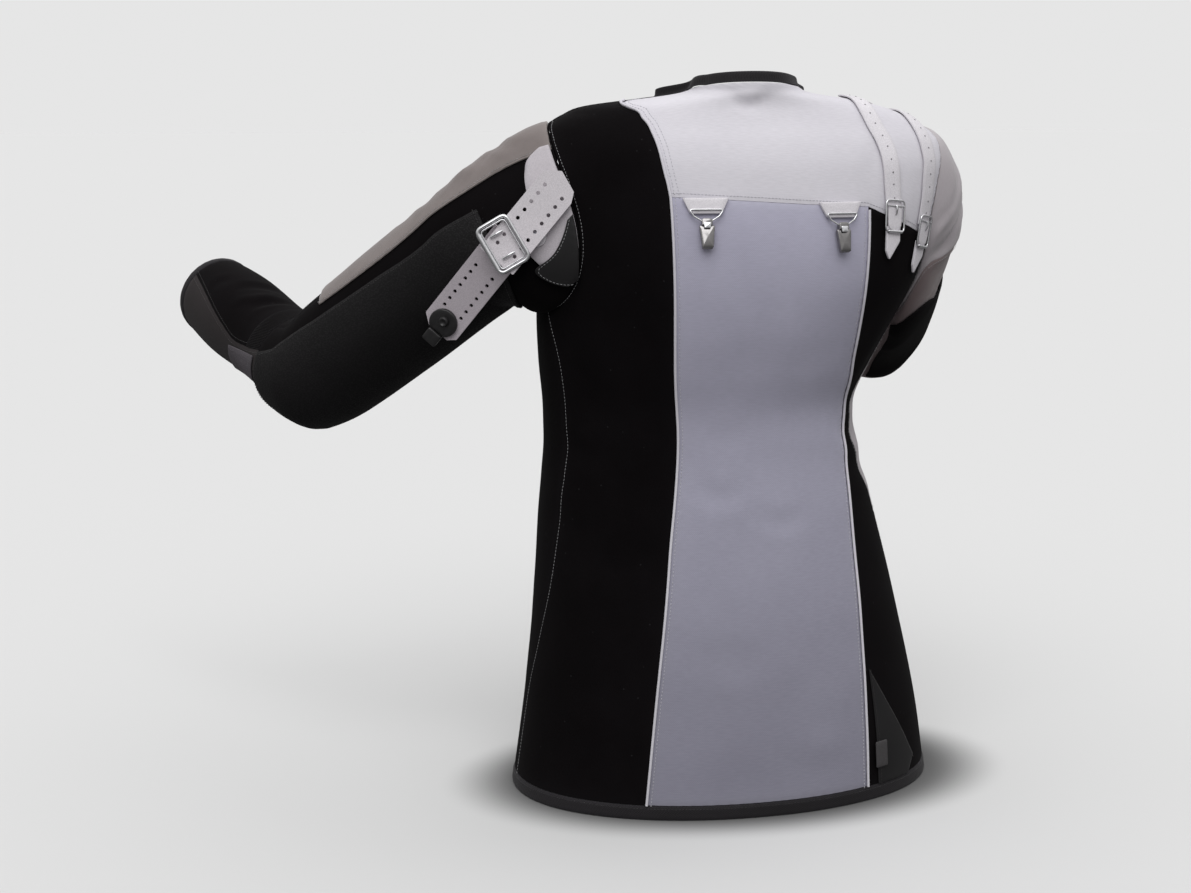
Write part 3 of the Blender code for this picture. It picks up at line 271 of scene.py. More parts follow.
def arc_lengths(points: Points, axis: int) -> np.ndarray:
    """How far each grid point lies from the grid's first row or column, along the cloth."""
    steps = np.linalg.norm(np.diff(points, axis=axis), axis=-1)
    return np.insert(np.cumsum(steps, axis=axis), 0, 0.0, axis=axis)


class BodySurface:
    """The body's outer form, from the neck to the hem."""

    def reach(self, angle: np.ndarray, down: np.ndarray) -> tuple[np.ndarray, np.ndarray, np.ndarray]:
        """The body's middle (x, y) at a height, and how far its cloth lies from there at an angle."""
        turn = np.radians(angle)
        left, right, back, front, shift_x, shift_y, square = (curve(BODY, down, k) for k in range(1, 8))
        across, along = np.sin(turn), np.cos(turn)
        wide = np.where(across > 0, left, right)
        deep = np.where(along > 0, back, front)
        out = (np.abs(across / wide) ** square + np.abs(along / deep) ** square) ** (-1 / square)
        return shift_x, shift_y, out

    def point(self, places: Places) -> Points:
        """Points on the body at (angle, down)."""
        angle, down = places[..., 0], places[..., 1]
        shift_x, shift_y, out = self.reach(angle, down)
        turn = np.radians(angle)
        return np.stack([shift_x + out * np.sin(turn), shift_y + out * np.cos(turn), -down], -1)

    def outward(self, places: Places) -> Points:
        """Directions straight out of the body."""
        du = self.point(places + (0.02, 0)) - self.point(places - (0.02, 0))
        dv = self.point(places + (0, STEP)) - self.point(places - (0, STEP))
        return unit(np.cross(du, dv))


BODY_SURFACE = BodySurface()


def armhole(side: Side, turn: np.ndarray | float) -> Places:
    """The armhole's places at a turn in degrees: 0 at the top, 90 at the back, 180 below."""
    turn = np.radians(turn)
    top = SHOULDER_DOWN[side]
    middle, half = (top + UNDERARM_DOWN) / 2, (UNDERARM_DOWN - top) / 2
    share = (1 + np.cos(turn)) / 2
    above, below = ARMHOLE_SWING[side]
    swing = np.where(np.sin(turn) > 0, below + (above - below) * share, ARMHOLE_FRONT[side])
    angle = 84 + 6 * share - swing * np.sin(turn)
    return pairs(angle * side.sign, middle - half * np.cos(turn))


def neck_down(angle: np.ndarray | float) -> np.ndarray:
    """How far down the neck's edge lies, which drops towards the front."""
    share = (1 - np.cos(np.radians(angle))) / 2
    drop = NECK_FRONT_DOWN - NECK_BACK_DOWN - NECK_SLOPE
    return NECK_BACK_DOWN + NECK_SLOPE * share + drop * share**NECK_DROP


def seam_angle(rows: Sequence[Sequence[float]], down: np.ndarray) -> np.ndarray:
    """The angles at which a back seam, given by its distance across, crosses the body's sections."""
    across = curve(rows, down)
    low, high = np.full(np.shape(down), -89.0), np.full(np.shape(down), 89.0)
    for _ in range(30):
        middle = (low + high) / 2
        beyond = BODY_SURFACE.point(pairs(middle, down))[..., 0] > across
        low, high = np.where(beyond, low, middle), np.where(beyond, middle, high)
    return (low + high) / 2


class ArmSurface:
    """A sleeve's outer form, from the armhole round the elbow to the cuff."""

    def __init__(self, side: Side) -> None:
        self.side = side
        shoulder, elbow, wrist = (np.array(p) for p in ARM_POINTS[side])
        first, second = unit(elbow - shoulder), unit(wrist - elbow)
        bend = math.acos(first @ second)
        cut = ARM_BEND[side] * math.tan(bend / 2)
        self.start_bend = np.linalg.norm(elbow - shoulder) - cut
        self.end_bend = self.start_bend + ARM_BEND[side] * bend
        self.length = self.end_bend + np.linalg.norm(wrist - elbow) - cut
        self.shoulder, self.first, self.second, self.bend = shoulder, first, second, bend
        self.turned = unit(second - first * (first @ second))

    def path(self, along: np.ndarray) -> tuple[Points, Points]:
        """The arm's middle line and its direction."""
        radius = ARM_BEND[self.side]
        swing = np.clip((along - self.start_bend) / radius, 0, self.bend)[..., None]
        before = np.minimum(along, self.start_bend)[..., None]
        after = np.maximum(along - self.end_bend, 0)[..., None]
        direction = self.first * np.cos(swing) + self.turned * np.sin(swing)
        point = self.shoulder + self.first * before
        point = point + radius * (self.first * np.sin(swing) + self.turned * (1 - np.cos(swing)))
        return point + self.second * after, direction

    def ring(self, turn: np.ndarray, along: np.ndarray) -> Points:
        """Points on the round part of the sleeve."""
        centre, direction = self.path(along)
        hinge = unit(np.cross(self.first, self.second))
        up = unit(np.array([0, 0, 1.0]) - self.first * self.first[2])
        swing = np.clip((along - self.start_bend) / ARM_BEND[self.side], 0, self.bend)[..., None]
        sideways, along_hinge = np.cross(hinge, up), hinge * (hinge @ up)
        up = up * np.cos(swing) + sideways * np.sin(swing) + along_hinge * (1 - np.cos(swing))
        across = np.cross(up, direction) * self.side.sign
        high, deep = (curve(ARM_SIZES[self.side], along, k)[..., None] for k in (1, 2))
        turn = np.radians(turn)[..., None]
        point = centre + up * np.cos(turn) * high + across * np.sin(turn) * deep
        pivot = self.shoulder + self.first * self.start_bend + self.turned * ARM_BEND[self.side]
        away = np.cos(swing) * self.turned - np.sin(swing) * self.first
        reach = -np.sum((point - pivot) * away, -1, keepdims=True)
        stretch = 1 / np.cos(np.minimum(swing, self.bend - swing)) - 1
        return point - away * reach * stretch * ELBOW_CORNER[self.side]

    def point(self, places: Places) -> Points:
        """Points on the sleeve at (turn, along)."""
        turn, along = places[..., 0], places[..., 1]
        below = (1 - np.cos(np.radians(turn))) / 2
        head = ARM_HEAD[self.side] + ARM_HEAD_UNDER[self.side] * below**2
        ring = self.ring(turn, np.maximum(along, head))
        start = BODY_SURFACE.point(armhole(self.side, turn))
        end = self.ring(turn, head)
        t = np.clip(along / head, 0, 1)[..., None]
        reach = np.linalg.norm(end - start, axis=-1, keepdims=True)
        out = unit(self.first * HEAD_ALONG + unit(start - self.shoulder) * HEAD_SWELL[self.side])
        pull = (t**3 - 2 * t**2 + t) * out * reach + (t**3 - t**2) * self.first * reach * HEAD_RELEASE
        blend = (2 * t**3 - 3 * t**2 + 1) * start + (3 * t**2 - 2 * t**3) * end + pull
        return self.clear_of_body(turn, along, np.where(t < 1, blend, ring))

    def clear_of_body(self, turn: np.ndarray, along: np.ndarray, point: Points) -> Points:
        """The sleeve's points, with those of its inner side pressed out to the chest."""
        down = -point[..., 2]
        shift_x, shift_y, _ = BODY_SURFACE.reach(0.0, down)
        away = np.stack([point[..., 0] - shift_x, point[..., 1] - shift_y], -1)
        _, _, reach = BODY_SURFACE.reach(np.degrees(np.arctan2(away[..., 0], away[..., 1])), down)
        inner = (turn % 360 - PRESSED_TURNS[0]) / (PRESSED_TURNS[1] - PRESSED_TURNS[0])
        share = np.sin(np.clip(inner, 0, 1) * math.pi) ** 0.5
        wanted = reach + CHEST_GAP * np.clip(along / CHEST_GAP_START, 0, 1)
        push = np.maximum(wanted / np.linalg.norm(away, axis=-1) - 1, 0) * share
        return point + np.concatenate([away, 0 * away[..., :1]], -1) * push[..., None]

    def outward(self, places: Places) -> Points:
        """Directions straight out of the sleeve."""
        du = self.point(places + (2.0, 0)) - self.point(places - (2.0, 0))
        dv = self.point(places + (0, 0.002)) - self.point(places - (0, 0.002))
        return unit(np.cross(du, dv)) * -self.side.sign


@dataclass(frozen=True)
class Crease:
    """A soft trough (below zero) or ridge placed on a surface.

    Attributes:
        places: the places that its middle line runs through.
        depth: how far its middle stands out, in metres.
        width: half its width.
    """

    places: tuple[tuple[float, float], ...]
    depth: float
    width: float

    def line(self, surface: "BodySurface | ArmSurface") -> Points:
        """Points along its middle line."""
        rows = [(k, *place) for k, place in enumerate(self.places)]
        at = np.linspace(0, len(rows) - 1, 28)
        return surface.point(pairs(curve(rows, at, 1), curve(rows, at, 2)))

    def relief(self, line: Points, points: Points) -> np.ndarray:
        """How far it moves some points of the cloth."""
        reach = 3.2 * self.width
        low, high = line.min(0) - reach, line.max(0) + reach
        near = np.all((points > low) & (points < high), -1)
        moved = np.zeros(len(points))
        if near.any():
            gap = np.linalg.norm(points[near][:, None] - line[None], axis=-1)
            nearest = gap.argmin(1) / (len(line) - 1)
            taper = np.sin(np.clip(nearest, 0.02, 0.98) * math.pi) ** 0.6
            share = gap.min(1) / self.width
            moved[near] = self.depth * taper * (np.exp(-share**2) - 0.28 * np.exp(-((share - 1.7) ** 2) * 2))
        return moved


class Cloth:
    """A surface with its creases and the slight unevenness of real cloth."""

    def __init__(self, surface: BodySurface | ArmSurface, creases: Sequence[Crease], uneven: float,
                 seed: int) -> None:
        self.surface = surface
        self.creases = [(c, c.line(surface)) for c in creases]
        self.uneven = uneven
        rng = np.random.default_rng(seed)
        count = 14
        self.waves = unit(rng.normal(size=(count, 3))) * (2 * math.pi / rng.uniform(0.05, 0.16, (count, 1)))
        self.phases = rng.uniform(0, 2 * math.pi, count)
        rounds = np.linspace(0, 360, 120, endpoint=False)
        self.armholes = np.concatenate([BODY_SURFACE.point(armhole(side, rounds)) for side in Side])

    def relief(self, points: Points) -> np.ndarray:
        """How far the creases and the unevenness move points that lie on the surface."""
        flat = points.reshape(-1, 3)
        moved = np.sin(flat @ self.waves.T + self.phases).sum(1) * self.uneven / math.sqrt(len(self.phases))
        for crease, line in self.creases:
            moved = moved + crease.relief(line, flat)
        gap = np.full(len(flat), 1.0)
        for point in self.armholes:
            gap = np.minimum(gap, np.linalg.norm(flat - point, axis=1))
        return (moved * smooth_step(gap / ARMHOLE_FADE)).reshape(points.shape[:-1])

    def at(self, places: Places, lift: np.ndarray | float = 0.0) -> Points:
        """Points over the creased cloth."""
        base, out = self.surface.point(places), self.surface.outward(places)
        return base + out * (self.relief(base) + lift)[..., None]


def smooth_step(t: np.ndarray) -> np.ndarray:
    """An even step from 0 to 1."""
    t = np.clip(t, 0, 1)
    return t * t * (3 - 2 * t)


@dataclass(frozen=True)
class Wall:
    """How a panel's cloth stands over its surface.

    Attributes:
        low, high: the heights of its two faces.
        drop, roll: how far its turned edge sinks, and over which distance.
        pucker: the height of the small puckers along its seams.
        fray: the pitch of those puckers.
    """

    low: float = -CANVAS
    high: float = 0.0
    drop: float = 0.0005
    roll: float = 0.0035
    pucker: float = 0.00022
    fray: float = 0.011


class Panel:
    """A cut piece of cloth: a wall between two heights over a grid of places."""

    def __init__(self, cloth: Cloth, grid: Places, wall: Wall, closed: bool = False,
                 rise: Callable[[np.ndarray, np.ndarray], np.ndarray] | None = None) -> None:
        self.cloth, self.grid, self.wall, self.closed, self.rise = cloth, grid, wall, closed, rise

    def border(self, edge: Border, inset: float) -> Places:
        """The places along a border, a distance inside it."""
        grid = self.grid
        if edge in (Border.FIRST_ROW, Border.LAST_ROW):
            grid = grid.swapaxes(0, 1)
        if edge in (Border.LAST_ROW, Border.LAST_COLUMN):
            grid = grid[:, ::-1]
        grid = grid[:, : min(grid.shape[1], 16)]
        reach = arc_lengths(self.cloth.surface.point(grid), 1)
        return np.array([[np.interp(inset, r, row[:, 0]), np.interp(inset, r, row[:, 1])]
                         for r, row in zip(reach, grid)])

    def mesh(self, name: str) -> Mesh:
        """Builds the wall.

        Args:
            name: the mesh's name.

        Returns:
            A closed mesh with its own metric UV map and an "edge" attribute that is 1 at its borders.
        """
        surface, wall = self.cloth.surface, self.wall
        base, out = surface.point(self.grid), surface.outward(self.grid)
        s, t = arc_lengths(base, 1), arc_lengths(base, 0)
        edge = np.minimum(t, t[-1:] - t)
        if not self.closed:
            edge = np.minimum(edge, np.minimum(s, s[:, -1:] - s))
        relief = self.cloth.relief(base)
        near = np.exp(-edge / 0.006)
        ripple = np.sin((s + t) * 2 * math.pi / wall.fray + 1.7 * np.sin((s - t) * 60)) * near
        outer = wall.high + relief - wall.drop * (1 - smooth_step(edge / wall.roll)) + wall.pucker * ripple
        if self.rise is not None:
            outer = outer + self.rise(s, t)
        high = self.drawn_in(base, SEAM_DRAWN) + out * outer[..., None]
        low = self.drawn_in(base, -SEAM_CLOSED) + out * (wall.low + relief)[..., None]
        return wall_mesh(name, low, high, out, np.stack([s, t], -1), near, self.closed)

    def drawn_in(self, base: Points, gap: float) -> Points:
        """The grid's points, with its borders drawn in for the seam's gap."""
        made = base.copy()
        axes = (0,) if self.closed else (0, 1)
        for axis in axes:
            for edge, beside in ((0, 1), (-1, -2)):
                near, inner = [slice(None)] * 2, [slice(None)] * 2
                near[axis], inner[axis] = edge, beside
                made[tuple(near)] += unit(base[tuple(inner)] - base[tuple(near)]) * gap
        return made


def set_uv(mesh: Mesh, places: np.ndarray) -> None:
    """Gives a mesh its metric UV map, from one place for each point."""
    layer = mesh.uv_layers.new(name="cloth")
    loops = np.empty(len(mesh.loops), int)
    mesh.loops.foreach_get("vertex_index", loops)
    layer.data.foreach_set("uv", places[loops].ravel())


def wall_mesh(name: str, low: Points, high: Points, out: Points, uv: np.ndarray, near: np.ndarray,
              closed: bool = False) -> Mesh:
    """The closed mesh between two grids of points.

    Args:
        name: the mesh's name.
        low: the inner face's points.
        high: the outer face's points.
        out: directions straight out of the cloth.
        uv: each point's place on the cloth, in metres.
        near: each point's "edge" value.
        closed: whether the last column joins the first.

    Returns:
        The mesh, with the second material slot on its inner face.
    """
    rows, columns = low.shape[:2]
    count = rows * columns
    index = np.arange(count).reshape(rows, columns)
    if closed:
        index = np.concatenate([index, index[:, :1]], 1)
    corners = (index[:-1, :-1], index[:-1, 1:], index[1:, 1:], index[1:, :-1])
    outer = np.stack(corners, -1).reshape(-1, 4)
    rims = [(index[0, :-1], index[0, 1:]), (index[-1, 1:], index[-1, :-1])]
    if not closed:
        rims += [(index[1:, 0], index[:-1, 0]), (index[:-1, -1], index[1:, -1])]
    rim = np.concatenate([np.stack([y, x, x + count, y + count], -1) for x, y in rims])
    faces = np.concatenate([outer, outer[:, ::-1] + count, rim])
    row, column = rows // 2, columns // 2
    du = high[row, min(column + 1, columns - 1)] - high[row, column - 1]
    dv = high[min(row + 1, rows - 1), column] - high[row - 1, column]
    if np.cross(du, dv) @ out[row, column] < 0:
        faces = faces[:, ::-1]
    mesh = bpy.data.meshes.new(name)
    mesh.from_pydata(np.concatenate([high.reshape(-1, 3), low.reshape(-1, 3)]), [], faces.tolist())
    set_uv(mesh, np.tile(uv.reshape(-1, 2), (2, 1)))
    edge = mesh.attributes.new("edge", "FLOAT", "POINT")
    edge.data.foreach_set("value", np.tile(near.ravel(), 2))
    slots = np.zeros(len(faces), int)
    slots[len(outer):2 * len(outer)] = 1
    mesh.polygons.foreach_set("material_index", slots)
    mesh.shade_smooth()
    mesh.set_sharp_from_angle(angle=math.radians(55))
    return mesh


class Graph:
    """A node tree being wired."""

    def __init__(self, tree: bpy.types.NodeTree) -> None:
        self.tree = tree

    def feed(self, node: bpy.types.Node, inputs: dict) -> None:
        """Sets or links a node's inputs, each by its name or number."""
        for key, value in inputs.items():
            if isinstance(value, Socket):
                self.tree.links.new(value, node.inputs[key])
            else:
                node.inputs[key].default_value = value

    def add(self, kind: str, inputs: dict | None = None, **settings: object) -> bpy.types.Node:
        """Adds a node.

        Args:
            kind: the node's type name.
            inputs: a value or a socket for each input.
            settings: the node's own settings.

        Returns:
            The node.
        """
        node = self.tree.nodes.new(kind)
        for key, value in settings.items():
            setattr(node, key, value)
        self.feed(node, inputs or {})
        return node

    def math(self, operation: str, *values: object) -> Socket:
        """A sum or other operation on numbers."""
        return self.add("ShaderNodeMath", dict(enumerate(values)), operation=operation).outputs[0]

    def scaled(self, vector: object, factor: object) -> Socket:
        """A vector or a colour times a number."""
        return self.add("ShaderNodeVectorMath", {0: vector, 3: factor}, operation="SCALE").outputs[0]

    def parts(self, vector: object) -> bpy.types.bpy_prop_collection:
        """A vector's three numbers."""
        return self.add("ShaderNodeSeparateXYZ", {0: vector}).outputs

    def noise(self, vector: object, scale: object, detail: float, roughness: float = 0.5) -> bpy.types.Node:
        """A noise texture."""
        return self.add("ShaderNodeTexNoise", {"Vector": vector, "Scale": scale, "Detail": detail,
                                               "Roughness": roughness})

    def mix(self, share: object, first: object, second: object) -> Socket:
        """A mix of two colours, each a socket or three numbers."""
        first, second = ((*c, 1) if isinstance(c, tuple) else c for c in (first, second))
        return self.add("ShaderNodeMix", {0: share, 6: first, 7: second}, data_type="RGBA").outputs[2]

    def steps(self, value: object, low: float, high: float, start: float = 0.0,
              end: float = 1.0) -> Socket:
        """A number's range mapped to another, smoothly."""
        return self.add("ShaderNodeMapRange", {0: value, 1: low, 2: high, 3: start, 4: end},
                        interpolation_type="SMOOTHSTEP").outputs[0]

    def group(self, wire: "Wiring", vector: Socket,
              **values: float) -> bpy.types.bpy_prop_collection:
        """Places a shared node group over some coordinates.

        Args:
            wire: the group's nodes.
            vector: the coordinates.
            values: the group's numbers.

        Returns:
            The group's outputs.
        """
        tree = bpy.data.node_groups.get(wire.__name__) or shader_group(wire, values)
        return self.add("ShaderNodeGroup", {"vector": vector, **values}, node_tree=tree).outputs


Wiring = Callable[[Graph, dict], dict]


def shader_group(wire: Wiring, values: dict[str, float]) -> bpy.types.NodeTree:
    """A shader node group, built once.

    Args:
        wire: adds the nodes and returns a socket for each output.
        values: the group's numbers, with their first values.

    Returns:
        The group, named as the function is.
    """
    tree = bpy.data.node_groups.new(wire.__name__, "ShaderNodeTree")
    tree.interface.new_socket("vector", in_out="INPUT", socket_type="NodeSocketVector")
    for key, value in values.items():
        socket = tree.interface.new_socket(key, in_out="INPUT", socket_type="NodeSocketFloat")
        socket.default_value = value
    graph = Graph(tree)
    made = wire(graph, graph.add("NodeGroupInput").outputs)
    for key in made:
        tree.interface.new_socket(key, in_out="OUTPUT", socket_type="NodeSocketFloat")
    graph.add("NodeGroupOutput", made)
    return tree


def weave(g: Graph, given: dict) -> dict:
    """Crossing threads of uneven thickness, on a metric map."""
    scaled = g.scaled(given["vector"], g.math("DIVIDE", 1.0, given["pitch"]))
    parts = g.parts(scaled)
    shift = g.math("MULTIPLY", g.noise(scaled, 0.09, 3.0).outputs[0], 1.6)
    warp, weft = (g.math("SINE", g.math("MULTIPLY", g.math("ADD", parts[k], shift), math.pi)) for k in (0, 1))
    height = g.math("MULTIPLY_ADD", g.math("MULTIPLY", warp, weft), 0.5, 0.5)
    rows = g.add("ShaderNodeCombineXYZ", {0: g.math("MULTIPLY", parts[0], 0.14), 1: parts[1]}).outputs[0]
    thread = g.noise(rows, 0.7, 2.0).outputs[0]
    return {"height": g.math("MULTIPLY_ADD", thread, 0.35, height), "thread": thread}


def patches(g: Graph, given: dict) -> dict:
    """Large soft patches, as of handling and uneven dye."""
    return {"mask": g.steps(g.noise(given["vector"], given["scale"], 4.0, 0.6).outputs[0], 0.33, 0.67)}


def grain(g: Graph, given: dict) -> dict:
    """Pebbled grain: cells with soft walls, and fine noise over them."""
    vector, scale = given["vector"], given["scale"]
    bent = g.noise(vector, g.math("MULTIPLY", scale, 0.35), 2.0).outputs[1]
    place = g.add("ShaderNodeVectorMath", {0: vector, 1: g.scaled(bent, 0.0012)}, operation="ADD").outputs[0]
    cells = g.add("ShaderNodeTexVoronoi", {"Vector": place, "Scale": scale}).outputs[0]
    fine = g.noise(vector, g.math("MULTIPLY", scale, 3.0), 2.0).outputs[0]
    walls = g.math("MULTIPLY", g.steps(cells, 0.0, 0.75, 1.0, 0.0), g.math("SUBTRACT", 1.0, given["fine"]))
    return {"height": g.math("ADD", walls, g.math("MULTIPLY", fine, given["fine"]))}


def lint(g: Graph, given: dict) -> dict:
    """Sparse specks of lint and dust."""
    cells = g.add("ShaderNodeTexVoronoi", {"Vector": given["vector"], "Scale": given["scale"]})
    chosen = g.math("GREATER_THAN", g.parts(cells.outputs[1])[0], given["sparse"])
    return {"mask": g.math("MULTIPLY", chosen, g.steps(cells.outputs[0], 0.05, 0.16, 1.0, 0.0))}


Colour = tuple[float, float, float]


class Finish:
    """A surface finish: its name, the record's slot that it belongs to, and its nodes."""

    name: str
    slot: str

    def wire(self, g: Graph, flat: Socket, place: Socket) -> tuple[dict, tuple]:
        """Wires the finish's own nodes.

        Args:
            g: the material's graph.
            flat: the piece's UV map.
            place: the object's coordinates.

        Returns:
            The shader's inputs, and the bump's height, distance and strength.
        """
        raise NotImplementedError

    def build(self) -> Material:
        """The finish's material."""
        material = bpy.data.materials.new(self.name)
        material.use_nodes = True
        g = Graph(material.node_tree)
        at = g.add("ShaderNodeTexCoord").outputs
        inputs, (height, distance, strength) = self.wire(g, at["UV"], at["Object"])
        bump = g.add("ShaderNodeBump", {"Height": height, "Distance": distance, "Strength": strength})
        g.feed(material.node_tree.nodes["Principled BSDF"], {**inputs, "Normal": bump.outputs[0]})
        return material


@dataclass(frozen=True)
class ClothFinish(Finish):
    """Woven cloth: threads, patches of dye, worn borders, lint, a soft sheen, and for some cloth painted
    shade that darkens it towards the hem.
    """

    name: str
    slot: str
    colour: Colour
    patch: Colour
    worn: Colour
    pitch: float = 0.0009
    depth: float = 0.00012
    roughness: float = 0.85
    sheen: float = 0.15
    specular: float = 0.3
    lint: float = 0.0
    patch_scale: float = 8.0
    painted_shade_below: float = 0.0

    def wire(self, g: Graph, flat: Socket, place: Socket) -> tuple[dict, tuple]:
        """The cloth's nodes."""
        woven = g.group(weave, flat, pitch=self.pitch)
        mask = g.group(patches, place, scale=self.patch_scale)["mask"]
        edge = g.add("ShaderNodeAttribute", attribute_name="edge").outputs["Fac"]
        threads = g.steps(woven["thread"], 0.3, 0.7, 0.96, 1.03)
        tone = g.scaled(g.mix(mask, self.colour, self.patch), threads)
        tone = g.mix(g.math("MULTIPLY", edge, 0.55), tone, self.worn)
        # Painted shade: the cloth's colour darkens towards the hem, where less of the light from above falls.
        if self.painted_shade_below:
            top, least = -YOKE_CORNER_DOWN[Side.LEFT], 1.0 - self.painted_shade_below
            tone = g.scaled(tone, g.steps(g.parts(place)[2], -HEM_DOWN, top, least, 1.0))
        if self.lint:
            specks = g.group(lint, place, scale=160.0, sparse=0.93)["mask"]
            tone = g.mix(g.math("MULTIPLY", specks, self.lint), tone, (0.25, 0.25, 0.26))
        rough = g.steps(woven["height"], 0.0, 1.3, self.roughness + 0.08, self.roughness - 0.06)
        return {"Base Color": tone, "Roughness": rough, "Sheen Weight": self.sheen, "Sheen Roughness": 0.45,
                "Specular IOR Level": self.specular}, (woven["height"], self.depth, 1.0)


@dataclass(frozen=True)
class HideFinish(Finish):
    """Leather, suede or rubber: pebbled grain, patches and worn borders."""

    name: str
    slot: str
    colour: Colour
    patch: Colour
    worn: Colour
    scale: float = 900.0
    fine: float = 0.4
    depth: float = 0.00015
    roughness: float = 0.5
    spread: float = 0.12
    sheen: float = 0.0
    specular: float = 0.45
    patch_scale: float = 14.0

    def wire(self, g: Graph, flat: Socket, place: Socket) -> tuple[dict, tuple]:
        """The hide's nodes."""
        height = g.group(grain, place, scale=self.scale, fine=self.fine)["height"]
        mask = g.group(patches, place, scale=self.patch_scale)["mask"]
        edge = g.add("ShaderNodeAttribute", attribute_name="edge").outputs["Fac"]
        tone = g.scaled(g.mix(mask, self.colour, self.patch), g.steps(height, 0.1, 0.8, 0.82, 1.06))
        tone = g.mix(g.math("MULTIPLY", edge, 0.5), tone, self.worn)
        rough = g.steps(height, 0.1, 0.9, self.roughness + self.spread, self.roughness - self.spread)
        return {"Base Color": tone, "Roughness": rough, "Sheen Weight": self.sheen, "Sheen Roughness": 0.4,
                "Specular IOR Level": self.specular}, (height, self.depth, 1.0)


@dataclass(frozen=True)
class MetalFinish(Finish):
    """Plated metal with smudges and fine scratches."""

    name: str
    slot: str
    colour: Colour
    roughness: float = 0.14

    def wire(self, g: Graph, flat: Socket, place: Socket) -> tuple[dict, tuple]:
        """The metal's nodes."""
        mask = g.group(patches, place, scale=160.0)["mask"]
        drawn = g.add("ShaderNodeMapping", {"Vector": place, "Scale": (1.0, 1.0, 9.0)}).outputs[0]
        scratch = g.noise(drawn, 900.0, 2.0).outputs[0]
        tone = g.mix(g.math("MULTIPLY", mask, 0.5), self.colour, tuple(0.72 * c for c in self.colour))
        rough = g.steps(mask, 0.0, 1.0, self.roughness, self.roughness + 0.12)
        return {"Base Color": tone, "Roughness": rough, "Metallic": 1.0}, (scratch, 0.00001, 0.35)


@dataclass(frozen=True)
class PlasticFinish(Finish):
    """Moulded plastic with a fine matt skin and rubbed patches."""

    name: str
    slot: str
    colour: Colour
    roughness: float = 0.35

    def wire(self, g: Graph, flat: Socket, place: Socket) -> tuple[dict, tuple]:
        """The plastic's nodes."""
        mask = g.group(patches, place, scale=120.0)["mask"]
        skin = g.noise(place, 2600.0, 1.0).outputs[0]
        tone = g.mix(mask, self.colour, tuple(min(1.0, c * 1.7 + 0.004) for c in self.colour))
        rough = g.steps(mask, 0.0, 1.0, self.roughness + 0.1, self.roughness - 0.06)
        return {"Base Color": tone, "Roughness": rough}, (skin, 0.00003, 0.6)


@dataclass(frozen=True)
class ThreadFinish(Finish):
    """Sewing thread with its twist."""

    name: str
    slot: str
    colour: Colour

    def wire(self, g: Graph, flat: Socket, place: Socket) -> tuple[dict, tuple]:
        """The thread's nodes."""
        twist = g.add("ShaderNodeTexWave", {"Vector": place, "Scale": 420.0, "Distortion": 1.5},
                      bands_direction="DIAGONAL").outputs[1]
        tone = g.mix(twist, tuple(0.6 * c for c in self.colour), self.colour)
        return {"Base Color": tone, "Roughness": 0.75, "Sheen Weight": 0.2}, (twist, 0.00008, 1.0)


SUEDE_GRAIN = {"scale": 1500.0, "fine": 0.85, "depth": 0.00012, "roughness": 0.82, "sheen": 0.3,
               "specular": 0.2}
LEATHER_GRAIN = {"scale": 1100.0, "fine": 0.5, "depth": 0.00005}

# The grey canvas carries painted shade that darkens it towards the hem.
CANVAS_GREY = ClothFinish("grey canvas", "canvas", (0.480, 0.468, 0.580), (0.450, 0.438, 0.545),
                          (0.50, 0.49, 0.58), pitch=0.00095, depth=0.00010, roughness=0.86, sheen=0.1,
                          painted_shade_below=0.42)
CANVAS_WHITE = ClothFinish("white canvas", "white_canvas", (0.70, 0.680, 0.728), (0.67, 0.650, 0.70),
                           (0.65, 0.630, 0.68), pitch=0.0008, depth=0.00009, roughness=0.72, sheen=0.08)
CANVAS_BLACK = ClothFinish("black canvas", "black_canvas", (0.0030, 0.0022, 0.0026),
                           (0.0046, 0.0036, 0.0042), (0.008, 0.007, 0.008), depth=0.00010, roughness=0.95,
                           sheen=0.01, specular=0.07, lint=0.06)
KNIT_BLACK = ClothFinish("black knit", "black_canvas", (0.008, 0.0065, 0.0075), (0.013, 0.011, 0.013),
                         (0.022, 0.020, 0.024), pitch=0.0014, depth=0.0003, roughness=0.75, sheen=0.06)
SILVER_CLOTH = ClothFinish("silver cloth", "silver_canvas", (0.450, 0.412, 0.435), (0.40, 0.365, 0.386),
                           (0.40, 0.37, 0.385), pitch=0.0007, depth=0.00006, roughness=0.48, sheen=0.25,
                           specular=0.5)
CHARCOAL_CLOTH = ClothFinish("charcoal cloth", "charcoal_cloth", (0.022, 0.018, 0.0185),
                             (0.030, 0.025, 0.026), (0.034, 0.029, 0.030), pitch=0.0010, depth=0.00014,
                             roughness=0.9, sheen=0.05, specular=0.2)
RIB_BLACK = ClothFinish("ribbed knit", "black_canvas", (0.0040, 0.0032, 0.0038), (0.0058, 0.0048, 0.0055),
                        (0.009, 0.008, 0.009), pitch=0.0012, roughness=0.9, sheen=0.02, specular=0.12)
POCKET_CLOTH = ClothFinish("pocket cloth", "black_canvas", (0.0042, 0.0036, 0.0042),
                           (0.0060, 0.0052, 0.0060), (0.014, 0.013, 0.014), pitch=0.0007, depth=0.00005,
                           roughness=0.62, sheen=0.03, specular=0.35)
LINING = ClothFinish("lining", "black_canvas", (0.020, 0.019, 0.021), (0.027, 0.026, 0.028),
                     (0.03, 0.03, 0.03), pitch=0.0006, depth=0.00006, roughness=0.6, sheen=0.1)
SUEDE_STRIP = HideFinish("strip suede", "suede", (0.252, 0.218, 0.210), (0.205, 0.176, 0.170),
                         (0.28, 0.25, 0.24), **SUEDE_GRAIN)
SUEDE_BAND = HideFinish("band suede", "suede", (0.235, 0.183, 0.186), (0.195, 0.150, 0.153),
                        (0.25, 0.20, 0.20), **SUEDE_GRAIN)
